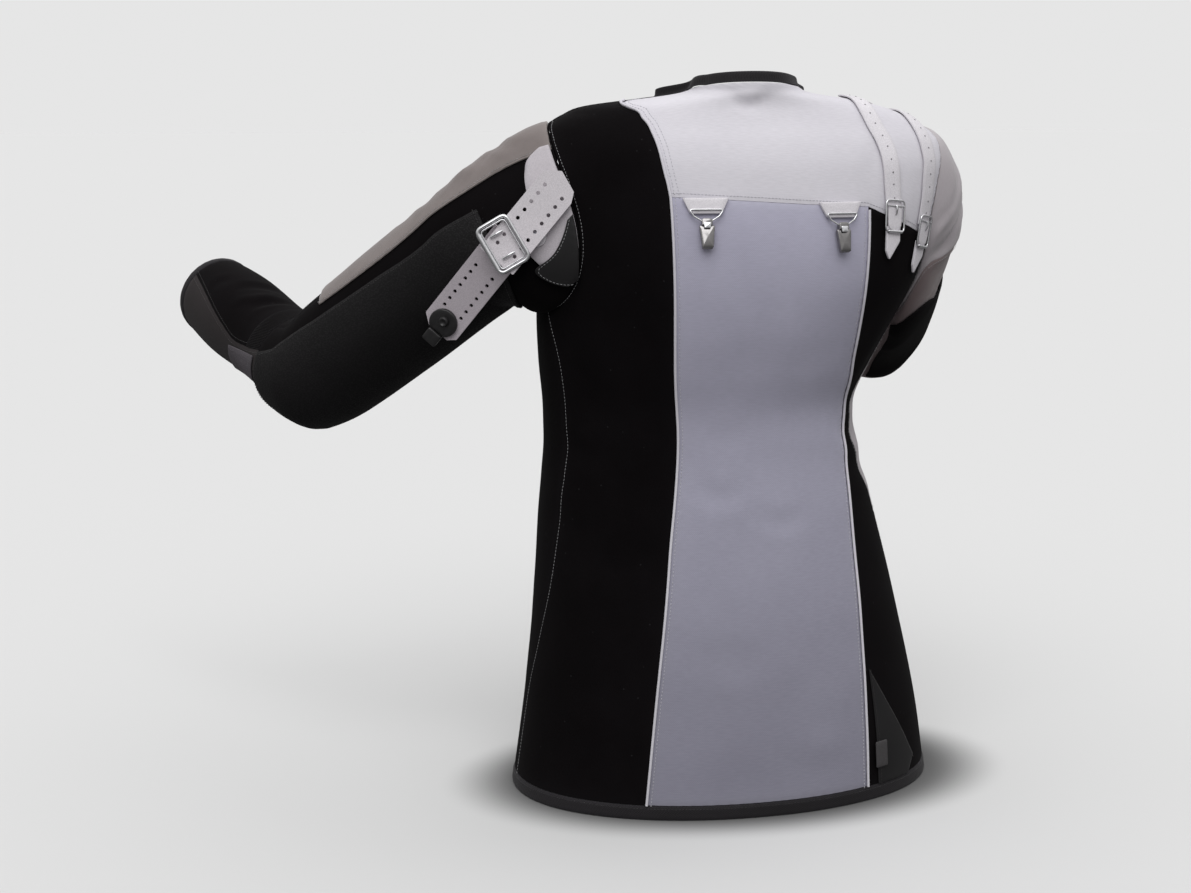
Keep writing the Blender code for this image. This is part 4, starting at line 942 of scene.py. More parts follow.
TAB_GREY = HideFinish("tab leather", "suede", (0.062, 0.058, 0.060), (0.052, 0.048, 0.050),
                      (0.09, 0.085, 0.088), scale=1300.0, roughness=0.6)
GRIP_RUBBER = HideFinish("grip rubber", "grip_rubber", (0.0040, 0.0034, 0.0040), (0.0058, 0.0050, 0.0057),
                         (0.012, 0.011, 0.012), scale=560.0, fine=0.3, depth=0.00028, roughness=0.74,
                         specular=0.28)
GRIP_PATCH = HideFinish("grip patch", "grip_rubber", (0.066, 0.058, 0.068), (0.105, 0.092, 0.106),
                        (0.09, 0.080, 0.09), fine=0.3, depth=0.0007, roughness=0.66, spread=0.22)
STRAP_LEATHER = HideFinish("strap leather", "white_leather", (0.80, 0.77, 0.81), (0.76, 0.73, 0.77),
                           (0.56, 0.54, 0.57), **LEATHER_GRAIN, roughness=0.42)
ANCHOR_LEATHER = HideFinish("anchor leather", "white_leather", (0.62, 0.575, 0.615), (0.58, 0.54, 0.575),
                            (0.48, 0.45, 0.48), **LEATHER_GRAIN, roughness=0.42, specular=0.4)
SLING_LEATHER = HideFinish("sling leather", "white_leather", (0.78, 0.735, 0.775), (0.73, 0.69, 0.725),
                           (0.56, 0.53, 0.56), **LEATHER_GRAIN, roughness=0.45, specular=0.4)
LOWER_SLING = HideFinish("lower sling leather", "white_leather", (0.61, 0.555, 0.600), (0.55, 0.50, 0.54),
                         (0.42, 0.385, 0.415), **LEATHER_GRAIN, specular=0.35)
CHROME = MetalFinish("chrome", "chrome", (0.78, 0.78, 0.80))
RIVET_STEEL = MetalFinish("rivet steel", "chrome", (0.46, 0.48, 0.54), roughness=0.2)
DARK_CHROME = MetalFinish("dark chrome", "chrome", (0.30, 0.29, 0.29), roughness=0.10)
BLACK_PLASTIC = PlasticFinish("black plastic", "black_plastic", (0.010, 0.0095, 0.010))
# Grey for the strap holes: painted shade inside the holes, together with the dark cloth seen behind them.
HOLE_SHADE_GREY = PlasticFinish("hole shade", "white_leather", (0.16, 0.155, 0.165), roughness=0.7)
PALE_THREAD = ThreadFinish("pale thread", "white_canvas", (0.66, 0.65, 0.70))
GREY_THREAD = ThreadFinish("grey thread", "black_canvas", (0.42, 0.42, 0.43))
BLACK_THREAD = ThreadFinish("black thread", "black_canvas", (0.020, 0.018, 0.019))


class Wardrobe:
    """Builds each material once, and each finished piece."""

    def __init__(self) -> None:
        self.made: dict[str, Material] = {}

    def material(self, finish: Finish) -> Material:
        """The finish's material, built the first time that it is asked for."""
        if finish.name not in self.made:
            self.made[finish.name] = finish.build()
        return self.made[finish.name]

    def piece(self, name: str, mesh: Mesh, *finishes: Finish) -> bpy.types.Object:
        """Makes a piece of the jacket, which stands for the solid of its name where there is one.

        Args:
            name: the piece's name.
            mesh: its mesh, in place.
            finishes: its material slots' finishes.

        Returns:
            The object.
        """
        made = bpy.data.objects.new(f"{name}_dressed", mesh)
        bpy.context.scene.collection.objects.link(made)
        mesh.materials.clear()
        for finish in finishes:
            mesh.materials.append(self.material(finish))
        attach(made, "root")
        if name in frame["nodes"]:
            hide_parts(name)
        log.info("%s: %d faces", name, len(mesh.polygons))
        return made

    def cloth(self, name: str, panel: Panel, finish: Finish, lining: Finish | None = None) -> None:
        """Args:
            name: the piece's name.
            panel: its wall.
            finish: the outer face's finish.
            lining: the inner face's finish, where it has another.
        """
        made = self.piece(name, panel.mesh(name), finish, lining or finish)
        points = panel.cloth.surface.point(panel.grid)
        across, up = arc_lengths(points, 1), arc_lengths(points, 0)
        closing = np.linalg.norm(points[:, -1] - points[:, 0], axis=-1).max() if panel.closed else 0.0
        spans = (across[:, -1].max() + closing, up[-1].max())
        width, length = (math.ceil(1000 * span) / 1000 for span in spans)
        upwards, sideways = points[1:, :-1] - points[:-1, :-1], points[:-1, 1:] - points[:-1, :-1]
        cut = float(np.linalg.norm(np.cross(upwards, sideways), axis=-1).sum()) + closing * length


class GeometryTree:
    """Geometry nodes with named sizes, which turn a mesh of lines into a piece."""

    def __init__(self, name: str, sizes: dict[str, float]) -> None:
        self.tree = bpy.data.node_groups.new(name, "GeometryNodeTree")
        new_socket = self.tree.interface.new_socket
        new_socket("Geometry", in_out="INPUT", socket_type="NodeSocketGeometry")
        self.ids = {}
        for key, value in sizes.items():
            kind = "NodeSocketInt" if isinstance(value, int) else "NodeSocketFloat"
            socket = new_socket(key, in_out="INPUT", socket_type=kind)
            socket.default_value = value
            self.ids[key] = socket.identifier
        new_socket("Geometry", in_out="OUTPUT", socket_type="NodeSocketGeometry")
        self.graph = Graph(self.tree)
        self.given = self.graph.add("NodeGroupInput").outputs

    def node(self, kind: str, inputs: dict | None = None, **settings: object) -> Socket:
        """Adds a node and gives its first output."""
        return self.graph.add(kind, inputs, **settings).outputs[0]

    def end(self, geometry: Socket, finish: Material) -> None:
        """Ends the tree with real faces in a finish."""
        real = self.node("GeometryNodeRealizeInstances", {0: geometry})
        dressed = self.node("GeometryNodeSetMaterial", {"Geometry": real, "Material": finish})
        self.graph.add("NodeGroupOutput", {0: dressed})

    def run(self, mesh: Mesh, name: str, sizes: dict[str, float]) -> Mesh:
        """Runs the nodes on a mesh.

        Args:
            mesh: the mesh that they start from.
            name: the new mesh's name.
            sizes: the tree's named sizes.

        Returns:
            The result as a plain mesh.
        """
        holder = bpy.data.objects.new(name, mesh)
        bpy.context.scene.collection.objects.link(holder)
        modifier = holder.modifiers.new("nodes", "NODES")
        modifier.node_group = self.tree
        for key, value in sizes.items():
            modifier[self.ids[key]] = value
        graph = bpy.context.evaluated_depsgraph_get()
        made = bpy.data.meshes.new_from_object(holder.evaluated_get(graph), depsgraph=graph)
        made.name = name
        holder.modifiers.remove(modifier)
        bpy.data.objects.remove(holder)
        return made


class StitchTree(GeometryTree):
    """Geometry nodes that lay a stitch at every pitch along lines."""

    SIZES = {"Pitch": 0.0034, "Stitch Length": 0.0025, "Thickness": 0.00052}

    def __init__(self, finish: Material, name: str) -> None:
        super().__init__(name, self.SIZES)
        given = self.given
        lines = self.node("GeometryNodeMeshToCurve", {0: given["Geometry"]})
        spaced = self.node("GeometryNodeResampleCurve", {"Curve": lines, "Length": given["Pitch"]},
                           mode="LENGTH")
        bead = self.node("GeometryNodeMeshUVSphere", {"Segments": 6, "Rings": 5, "Radius": 0.5})
        bead = self.node("GeometryNodeSetShadeSmooth", {0: bead})
        size = self.node("ShaderNodeCombineXYZ", {0: given["Thickness"], 1: given["Thickness"],
                                                  2: given["Stitch Length"]})
        stitch = self.node("GeometryNodeTransform", {0: bead, "Scale": size})
        tangent = self.node("GeometryNodeInputTangent")
        turned = self.node("FunctionNodeAlignRotationToVector", {"Vector": tangent}, axis="Z")
        self.end(self.node("GeometryNodeInstanceOnPoints", {"Points": spaced, "Instance": stitch,
                                                            "Rotation": turned}), finish)


class Sewing:
    """Collects stitch lines and lays their stitches."""

    def __init__(self, wardrobe: Wardrobe) -> None:
        self.wardrobe = wardrobe
        self.rows: dict[str, list[Points]] = {}

    def row(self, group: str, cloth: Cloth, places: Places, lift: float) -> None:
        """Adds a row of stitches over a cloth."""
        self.rows.setdefault(group, []).append(cloth.at(places, lift + 0.0001))

    def borders(self, group: str, panel: Panel, edges: Sequence[Border], inset: float) -> None:
        """Adds a row of stitches along some of a panel's borders."""
        for edge in edges:
            self.row(group, panel.cloth, panel.border(edge, inset), panel.wall.high)

    def lay(self, group: str, finish: Finish, sizes: dict[str, float] | None = None) -> None:
        """Makes all the stitches of a group as one piece.

        Args:
            group: the group's name.
            finish: its thread.
            sizes: the sizes that differ from the usual stitch.
        """
        verts, edges = [], []
        for line in self.rows[group]:
            edges += [(len(verts) + k, len(verts) + k + 1) for k in range(len(line) - 1)]
            verts += [tuple(point) for point in line]
        lines = bpy.data.meshes.new("lines")
        lines.from_pydata(verts, edges, [])
        tree = StitchTree(self.wardrobe.material(finish), group)
        self.wardrobe.piece(group, tree.run(lines, group, {**tree.SIZES, **(sizes or {})}), finish)


def tube_mesh(name: str, points: Points, radius: float | np.ndarray, sides: int = 12, closed: bool = False,
              hint: Sequence[float] = (0, 0, 1)) -> Mesh:
    """A round tube along points.

    Args:
        name: the mesh's name.
        points: the tube's middle line.
        radius: one radius, or one for each point.
        sides: how many sides it has round.
        closed: whether it is a ring.
        hint: a direction that the line doesn't follow.

    Returns:
        A closed mesh.
    """
    points = np.asarray(points, float)
    ahead, behind = np.roll(points, -1, 0) - points, points - np.roll(points, 1, 0)
    if not closed:
        ahead[-1], behind[0] = behind[-1], ahead[0]
    direction = unit(unit(ahead) + unit(behind))
    side = unit(np.cross(direction, np.asarray(hint, float)))
    other = np.cross(side, direction)
    radius = np.broadcast_to(radius, len(points))[:, None, None]
    turns = np.linspace(0, 2 * math.pi, sides, endpoint=False)[None, :, None]
    rings = points[:, None] + radius * (np.cos(turns) * side[:, None] + np.sin(turns) * other[:, None])
    return ringed_mesh(name, rings, 50, closed)


def ringed_mesh(name: str, rings: Points, sharp: float, closed: bool = False) -> Mesh:
    """A mesh through rings of points.

    Args:
        name: the mesh's name.
        rings: the rings, with the same number of points in each.
        sharp: the least angle of an edge that stays sharp, in degrees.
        closed: whether the last ring joins the first, instead of both being capped.

    Returns:
        A closed mesh.
    """
    index = np.arange(rings.shape[0] * rings.shape[1]).reshape(rings.shape[:2])
    index = np.concatenate([index, index[:, :1]], 1)
    if closed:
        index = np.concatenate([index, index[:1]])
    corners = (index[:-1, :-1], index[1:, :-1], index[1:, 1:], index[:-1, 1:])
    faces = np.stack(corners, -1).reshape(-1, 4).tolist()
    if not closed:
        faces += [index[0, :-1].tolist(), index[-1, -2::-1].tolist()]
    mesh = bpy.data.meshes.new(name)
    mesh.from_pydata(rings.reshape(-1, 3), [], faces)
    outside_faces(mesh)
    mesh.shade_smooth()
    mesh.set_sharp_from_angle(angle=math.radians(sharp))
    return mesh


def outside_faces(mesh: Mesh) -> None:
    """Turns all faces of a closed mesh outwards."""
    made = bmesh.new()
    made.from_mesh(mesh)
    bmesh.ops.recalc_face_normals(made, faces=made.faces)
    if made.calc_volume(signed=True) < 0:
        bmesh.ops.reverse_faces(made, faces=made.faces)
    made.to_mesh(mesh)
    made.free()


class Seat:
    """A place with directions: its x to the right, its y upwards and its z out of the cloth."""

    def __init__(self, point: Points, across: Points, up: Points) -> None:
        self.point = np.asarray(point, float)
        self.out = unit(np.cross(across, up))
        self.up = unit(up)
        self.across = np.cross(self.up, self.out)

    def __call__(self, points: Points | Sequence[Sequence[float]]) -> Points:
        """The seat's points in the frame."""
        points = np.asarray(points, float)
        return (self.point + points[..., :1] * self.across + points[..., 1:2] * self.up
                + points[..., 2:3] * self.out)


def mirrored(*half: tuple[float, float]) -> Outline:
    """An outline from the corners of its right half, listed upwards."""
    return [*half, *((-x, y) for x, y in reversed(half))]


def arc(x: float, y: float, radius: float, start: float, end: float, cells: int) -> Outline:
    """Points on an arc, with its angles in degrees."""
    return [(x + radius * math.cos(math.radians(t)), y + radius * math.sin(math.radians(t)))
            for t in np.linspace(start, end, cells + 1)]


def rounded(outline: Outline, radius: float | Sequence[float], cells: int = 5) -> Outline:
    """The same outline with rounded corners.

    Args:
        outline: its corners, counterclockwise.
        radius: one radius, or one for each corner.
        cells: how many cells each corner gets.

    Returns:
        The new outline.
    """
    corners = np.array(outline, float)
    radii = np.broadcast_to(radius, len(corners))
    made: Outline = []
    for k, corner in enumerate(corners):
        before, after = unit(corners[k - 1] - corner), unit(corners[(k + 1) % len(corners)] - corner)
        half = math.acos(float(np.clip(before @ after, -1, 1))) / 2
        cut = min(radii[k] / math.tan(half), 0.49 * np.linalg.norm(corners[k - 1] - corner),
                  0.49 * np.linalg.norm(corners[(k + 1) % len(corners)] - corner))
        start, end = corner + before * cut, corner + after * cut
        for t in np.linspace(0, 1, cells + 1):
            made.append(tuple((1 - t) ** 2 * start + 2 * t * (1 - t) * corner + t**2 * end))
    return made


def plate_mesh(name: str, outline: Outline, seat: Seat, low: float, high: float, soften: float = 0.0004,
               bulge: float = 0.0) -> Mesh:
    """A flat piece with an outline and softened edges.

    Args:
        name: the mesh's name.
        outline: its outline in the seat's x and y.
        seat: where it lies.
        low: the height of its lower face.
        high: the height of its upper face.
        soften: the size of its edges' rounding.
        bulge: how far its middle stands over its rim.

    Returns:
        A closed mesh.
    """
    flat = np.array(outline)
    centre = flat.mean(0)
    inner = unit(centre - flat) * soften
    levels = [(0.0, low), (0.0, high - soften), (0.3, high - 0.3 * soften), (1.0, high)]
    rings = [np.column_stack([flat + inner * share, np.full(len(flat), z)]) for share, z in levels]
    for share in (0.25, 0.5, 0.75, 0.97):
        ring = flat + inner + (centre - flat - inner) * share
        rings.append(np.column_stack([ring, np.full(len(flat), high + bulge * (1 - (1 - share) ** 2))]))
    return ringed_mesh(name, seat(np.stack(rings)), 50)


def lathe_mesh(name: str, profile: Outline, seat: Seat, sides: int = 28) -> Mesh:
    """A turned piece from rows of (radius, height) round the seat's z."""
    turns = np.linspace(0, 2 * math.pi, sides, endpoint=False)
    rings = [[(r * math.cos(t), r * math.sin(t), z) for t in turns] for r, z in profile]
    return ringed_mesh(name, seat(np.array(rings)), 40)


def merged(name: str, meshes: Sequence[Mesh]) -> Mesh:
    """One mesh from several, with their smoothness kept."""
    made = bmesh.new()
    for mesh in meshes:
        made.from_mesh(mesh)
    whole = bpy.data.meshes.new(name)
    made.to_mesh(whole)
    made.free()
    return whole


# Creases of the body, placed from the photograph, with like ones on the hidden front
BODY_CREASES = (
    Crease(((20, 0.395), (9, 0.408), (-4, 0.402)), -0.0012, 0.011),
    Crease(((-8, 0.425), (-20, 0.436), (-33, 0.428)), -0.0011, 0.010),
    Crease(((14, 0.345), (2, 0.352), (-12, 0.340)), -0.0008, 0.014),
    Crease(((12, 0.165), (9, 0.205), (2, 0.232)), -0.0010, 0.013),
    Crease(((-10, 0.225), (-18, 0.262), (-22, 0.300)), 0.0008, 0.016),
    Crease(((26, 0.555), (10, 0.566), (-6, 0.560)), -0.0008, 0.016),
    Crease(((-12, 0.640), (-24, 0.655), (-36, 0.650)), 0.0009, 0.015),
    Crease(((21, 0.020), (14, 0.027), (2, 0.026), (-8, 0.022)), 0.0016, 0.006),
    Crease(((24, 0.030), (12, 0.037), (-2, 0.036)), -0.0014, 0.007),
    Crease(((-60, 0.055), (-52, 0.082), (-44, 0.108)), -0.0010, 0.010),
    Crease(((-78, 0.060), (-76, 0.095), (-70, 0.130)), 0.0012, 0.009),
    Crease(((62, 0.150), (58, 0.220), (60, 0.300)), 0.0014, 0.020),
    Crease(((72, 0.250), (64, 0.300), (58, 0.345)), -0.0018, 0.014),
    Crease(((78, 0.360), (66, 0.372), (54, 0.366)), -0.0020, 0.012),
    Crease(((84, 0.400), (70, 0.418), (60, 0.428)), 0.0012, 0.014),
    Crease(((-58, 0.350), (-68, 0.362), (-82, 0.356)), -0.0022, 0.011),
    Crease(((-62, 0.392), (-74, 0.400), (-90, 0.392)), -0.0016, 0.012),
    Crease(((-66, 0.240), (-62, 0.280), (-58, 0.320)), 0.0016, 0.013),
    Crease(((130, 0.200), (140, 0.240), (156, 0.262)), -0.0022, 0.014),
    Crease(((110, 0.300), (126, 0.330), (148, 0.345)), -0.0026, 0.013),
    Crease(((100, 0.372), (120, 0.386), (146, 0.378)), -0.0020, 0.014),
    Crease(((-120, 0.232), (-134, 0.262), (-152, 0.276)), -0.0024, 0.013),
    Crease(((-104, 0.318), (-122, 0.340), (-146, 0.350)), -0.0024, 0.014),
    Crease(((-98, 0.420), (-118, 0.440), (-142, 0.436)), -0.0018, 0.015),
    Crease(((118, 0.560), (136, 0.578), (158, 0.570)), -0.0014, 0.018),
    Crease(((-110, 0.585), (-130, 0.600), (-154, 0.590)), -0.0016, 0.018),
)
LEFT_CREASES = (
    Crease(((10, 0.012), (32, 0.030), (46, 0.038)), 0.0009, 0.004),
    Crease(((2, 0.020), (26, 0.042), (44, 0.056)), -0.0010, 0.004),
    Crease(((0, 0.036), (22, 0.058), (42, 0.074)), 0.0008, 0.005),
    Crease(((34, 0.020), (14, 0.034), (-12, 0.040)), -0.0020, 0.007),
    Crease(((36, 0.042), (18, 0.060), (-10, 0.072)), 0.0014, 0.008),
    Crease(((30, 0.080), (10, 0.094), (-16, 0.100)), -0.0014, 0.008),
    Crease(((24, 0.116), (8, 0.126), (-10, 0.128)), -0.0009, 0.008),
    Crease(((300, 0.240), (326, 0.268), (352, 0.280)), -0.0030, 0.012),
    Crease(((296, 0.300), (322, 0.306), (350, 0.300)), -0.0040, 0.009),
    Crease(((292, 0.336), (316, 0.330), (346, 0.334)), 0.0020, 0.008),
    Crease(((340, 0.396), (366, 0.402), (392, 0.410)), -0.0026, 0.006),
    Crease(((348, 0.414), (372, 0.420), (400, 0.436)), 0.0018, 0.006),
    Crease(((330, 0.430), (356, 0.440), (384, 0.452)), -0.0020, 0.007),
    Crease(((20, 0.470), (32, 0.480), (44, 0.478)), -0.0010, 0.007),
    Crease(((150, 0.050), (170, 0.062), (196, 0.064)), -0.0022, 0.010),
    Crease(((230, 0.040), (262, 0.058), (296, 0.060)), -0.0026, 0.011),
    Crease(((112, 0.120), (106, 0.190), (112, 0.250)), 0.0010, 0.020),
    Crease(((160, 0.300), (140, 0.330), (118, 0.336)), -0.0012, 0.014),
)
RIGHT_CREASES = (
    Crease(((50, 0.060), (84, 0.040), (112, 0.012)), -0.0026, 0.007),
    Crease(((44, 0.042), (76, 0.026), (104, 0.006)), 0.0022, 0.006),
    Crease(((40, 0.086), (74, 0.066), (100, 0.034)), 0.0024, 0.007),
    Crease(((40, 0.022), (64, 0.030), (92, 0.026)), -0.0014, 0.007),
    Crease(((20, 0.050), (52, 0.056), (84, 0.042)), -0.0026, 0.008),
    Crease(((10, 0.078), (40, 0.078), (74, 0.058)), 0.0022, 0.009),
    Crease(((0, 0.100), (30, 0.098), (66, 0.076)), -0.0022, 0.008),
    Crease(((-10, 0.122), (14, 0.124), (44, 0.108)), 0.0014, 0.009),
    Crease(((70, 0.100), (96, 0.088), (124, 0.080)), 0.0010, 0.010),
    Crease(((290, 0.150), (316, 0.166), (344, 0.170)), -0.0032, 0.010),
    Crease(((286, 0.190), (312, 0.198), (340, 0.196)), -0.0040, 0.010),
    Crease(((296, 0.228), (320, 0.232), (348, 0.226)), 0.0024, 0.009),
    Crease(((170, 0.060), (186, 0.082), (204, 0.090)), -0.0024, 0.010),
    Crease(((340, 0.320), (372, 0.332), (404, 0.326)), -0.0016, 0.010),
    Crease(((230, 0.350), (262, 0.362), (300, 0.356)), -0.0018, 0.010),
)


class Torso:
    """The body's panels: back, side backs, yoke and fronts."""

    def __init__(self, wardrobe: Wardrobe, sewing: Sewing, cloth: Cloth) -> None:
        self.wardrobe, self.sewing, self.cloth = wardrobe, sewing, cloth

    @staticmethod
    def back_seam(side: Side) -> Places:
        """A back seam from the hem band to the yoke's corner."""
        down = np.concatenate([np.linspace(PANEL_HEM, UNDERARM_DOWN, HEM_CELLS + 1),
                               np.linspace(UNDERARM_DOWN, YOKE_CORNER_DOWN[side], CHEST_CELLS + 1)[1:]])
        return pairs(seam_angle(BACK_SEAMS[side], down), down)

    @classmethod
    def yoke_left_edge(cls) -> Places:
        """The yoke's left edge, from its corner over the shoulder blade to the top of the shoulder."""
        share = np.linspace(0, 1, SHOULDER_CELLS + 1)
        down = YOKE_CORNER_DOWN[Side.LEFT] + (YOKE_RIDGE_DOWN - YOKE_CORNER_DOWN[Side.LEFT]) * share**0.8
        edge = pairs(curve(YOKE_LEFT, down), down)
        edge[0], edge[-1] = cls.back_seam(Side.LEFT)[-1], (90.0, YOKE_RIDGE_DOWN)
        return edge

    @staticmethod
    def side_seam(side: Side) -> Places:
        """A side seam from the hem band to the armhole."""
        down = np.linspace(PANEL_HEM, UNDERARM_DOWN, HEM_CELLS + 1)
        return pairs(curve(SIDE_SEAMS[side], down), down)

    @staticmethod
    def armhole_edge(side: Side, start: float, end: float) -> Places:
        """An edge round the armhole."""
        return armhole(side, np.linspace(start, end, round(abs(end - start) / TURN_CELL) + 1))

    @staticmethod
    def neck_edge(start: float, end: float, cells: int) -> Places:
        """An edge along the neck."""
        angle = np.linspace(start, end, cells + 1)
        return pairs(angle, neck_down(angle))

    @staticmethod
    def front_edge(side: Side) -> Places:
        """The front opening's edge from the hem band to the neck."""
        centre = FRONT_EDGE * side.sign
        downs = (PANEL_HEM, FRONT_PATCH_MIDDLE, UNDERARM_DOWN, float(neck_down(180.0)))
        cells = (FRONT_PATCH_CELLS, HEM_CELLS - FRONT_PATCH_CELLS, round(180 / TURN_CELL) - NECK_CELLS)
        return joined(*(straight((centre, a), (centre, b), n) for a, b, n in zip(downs, downs[1:], cells)))

    def grids(self) -> dict[str, Places]:
        """The grid of each panel."""
        yoke_turn = 180 - CHEST_CELLS * TURN_CELL
        back_left, back_right = self.back_seam(Side.LEFT), self.back_seam(Side.RIGHT)
        side_left, side_right = self.side_seam(Side.LEFT), self.side_seam(Side.RIGHT)
        yoke_left = self.yoke_left_edge()
        yoke_line = straight(back_right[-1], back_left[-1], BACK_CELLS)
        shoulder, neck_side = SHOULDER_DOWN, float(neck_down(90.0))
        hem_line = straight(back_right[0], back_left[0], BACK_CELLS)
        grids = {"back_centre": coons(hem_line, yoke_line, back_right, back_left)}
        top = straight((90, YOKE_RIDGE_DOWN), (90, shoulder[Side.LEFT]), SIDE_CELLS)
        grids["left_side_back"] = coons(straight(back_left[0], side_left[0], SIDE_CELLS), top,
                                        joined(back_left, yoke_left),
                                        joined(side_left, self.armhole_edge(Side.LEFT, 180, 0)))
        right_out = joined(side_right, self.armhole_edge(Side.RIGHT, 180, yoke_turn))
        foot, head = (straight(right_out[end], back_right[end], SIDE_CELLS) for end in (0, -1))
        grids["right_side_back"] = coons(foot, head, right_out, back_right)
        yoke_top = joined(straight((-90, shoulder[Side.RIGHT]), (-90, neck_side), FRONT_CELLS),
                          self.neck_edge(-90, 90, 2 * NECK_CELLS),
                          straight((90, neck_side), (90, YOKE_RIDGE_DOWN), FRONT_CELLS - SIDE_CELLS))
        spare = len(yoke_top) - 1 - BACK_CELLS
        grids["yoke"] = coons(joined(straight(right_out[-1], back_right[-1], spare), yoke_line), yoke_top,
                              self.armhole_edge(Side.RIGHT, yoke_turn, 0), yoke_left)
        for side, edge in ((Side.LEFT, side_left), (Side.RIGHT, side_right)):
            out = joined(edge, self.armhole_edge(side, 180, 360))
            neck = self.neck_edge(FRONT_EDGE * side.sign, 90 * side.sign, NECK_CELLS)
            inner = joined(self.front_edge(side), neck)
            top = straight((90 * side.sign, shoulder[side]), (90 * side.sign, neck_side), FRONT_CELLS)
            if side is Side.LEFT:
                top = joined(straight((90, shoulder[side]), (90, YOKE_RIDGE_DOWN), SIDE_CELLS),
                             straight((90, YOKE_RIDGE_DOWN), (90, neck_side), FRONT_CELLS - SIDE_CELLS))
            grids[f"{side.value}_front"] = coons(straight(out[0], inner[0], FRONT_CELLS), top, out, inner)
        whole = grids.pop("right_front")
        grids["right_front_lower"] = whole[: FRONT_PATCH_CELLS + 1]
        grids["right_front_upper"] = whole[FRONT_PATCH_CELLS:]
        return grids

    def build(self) -> None:
        """Builds the panels and their seams."""
        finishes = {"back_centre": CANVAS_GREY, "yoke": CANVAS_WHITE, "right_front_upper": SILVER_CLOTH}
        panels = {name: Panel(self.cloth, grid, Wall()) for name, grid in self.grids().items()}
        for name, panel in panels.items():
            self.wardrobe.cloth(name, panel, finishes.get(name, CANVAS_BLACK), LINING)
        first, last = Border.FIRST_COLUMN, Border.LAST_COLUMN
        for group, name, *edges in (
            ("stitches_pale", "back_centre", first, last),
            ("stitches_pale", "yoke", Border.FIRST_ROW, last, first),
            ("stitches_grey", "left_side_back", last),
            ("stitches_grey", "right_side_back", first),
            ("stitches_black", "left_front", last),
            ("stitches_black", "right_front_upper", Border.FIRST_ROW),
            ("stitches_grey", "right_front_lower", Border.LAST_ROW),
        ):
            self.sewing.borders(group, panels[name], edges, SEAM_INSET)
        self.sewing.borders("stitches_pale", panels["yoke"], (last,), 2 * SEAM_INSET + 0.0001)


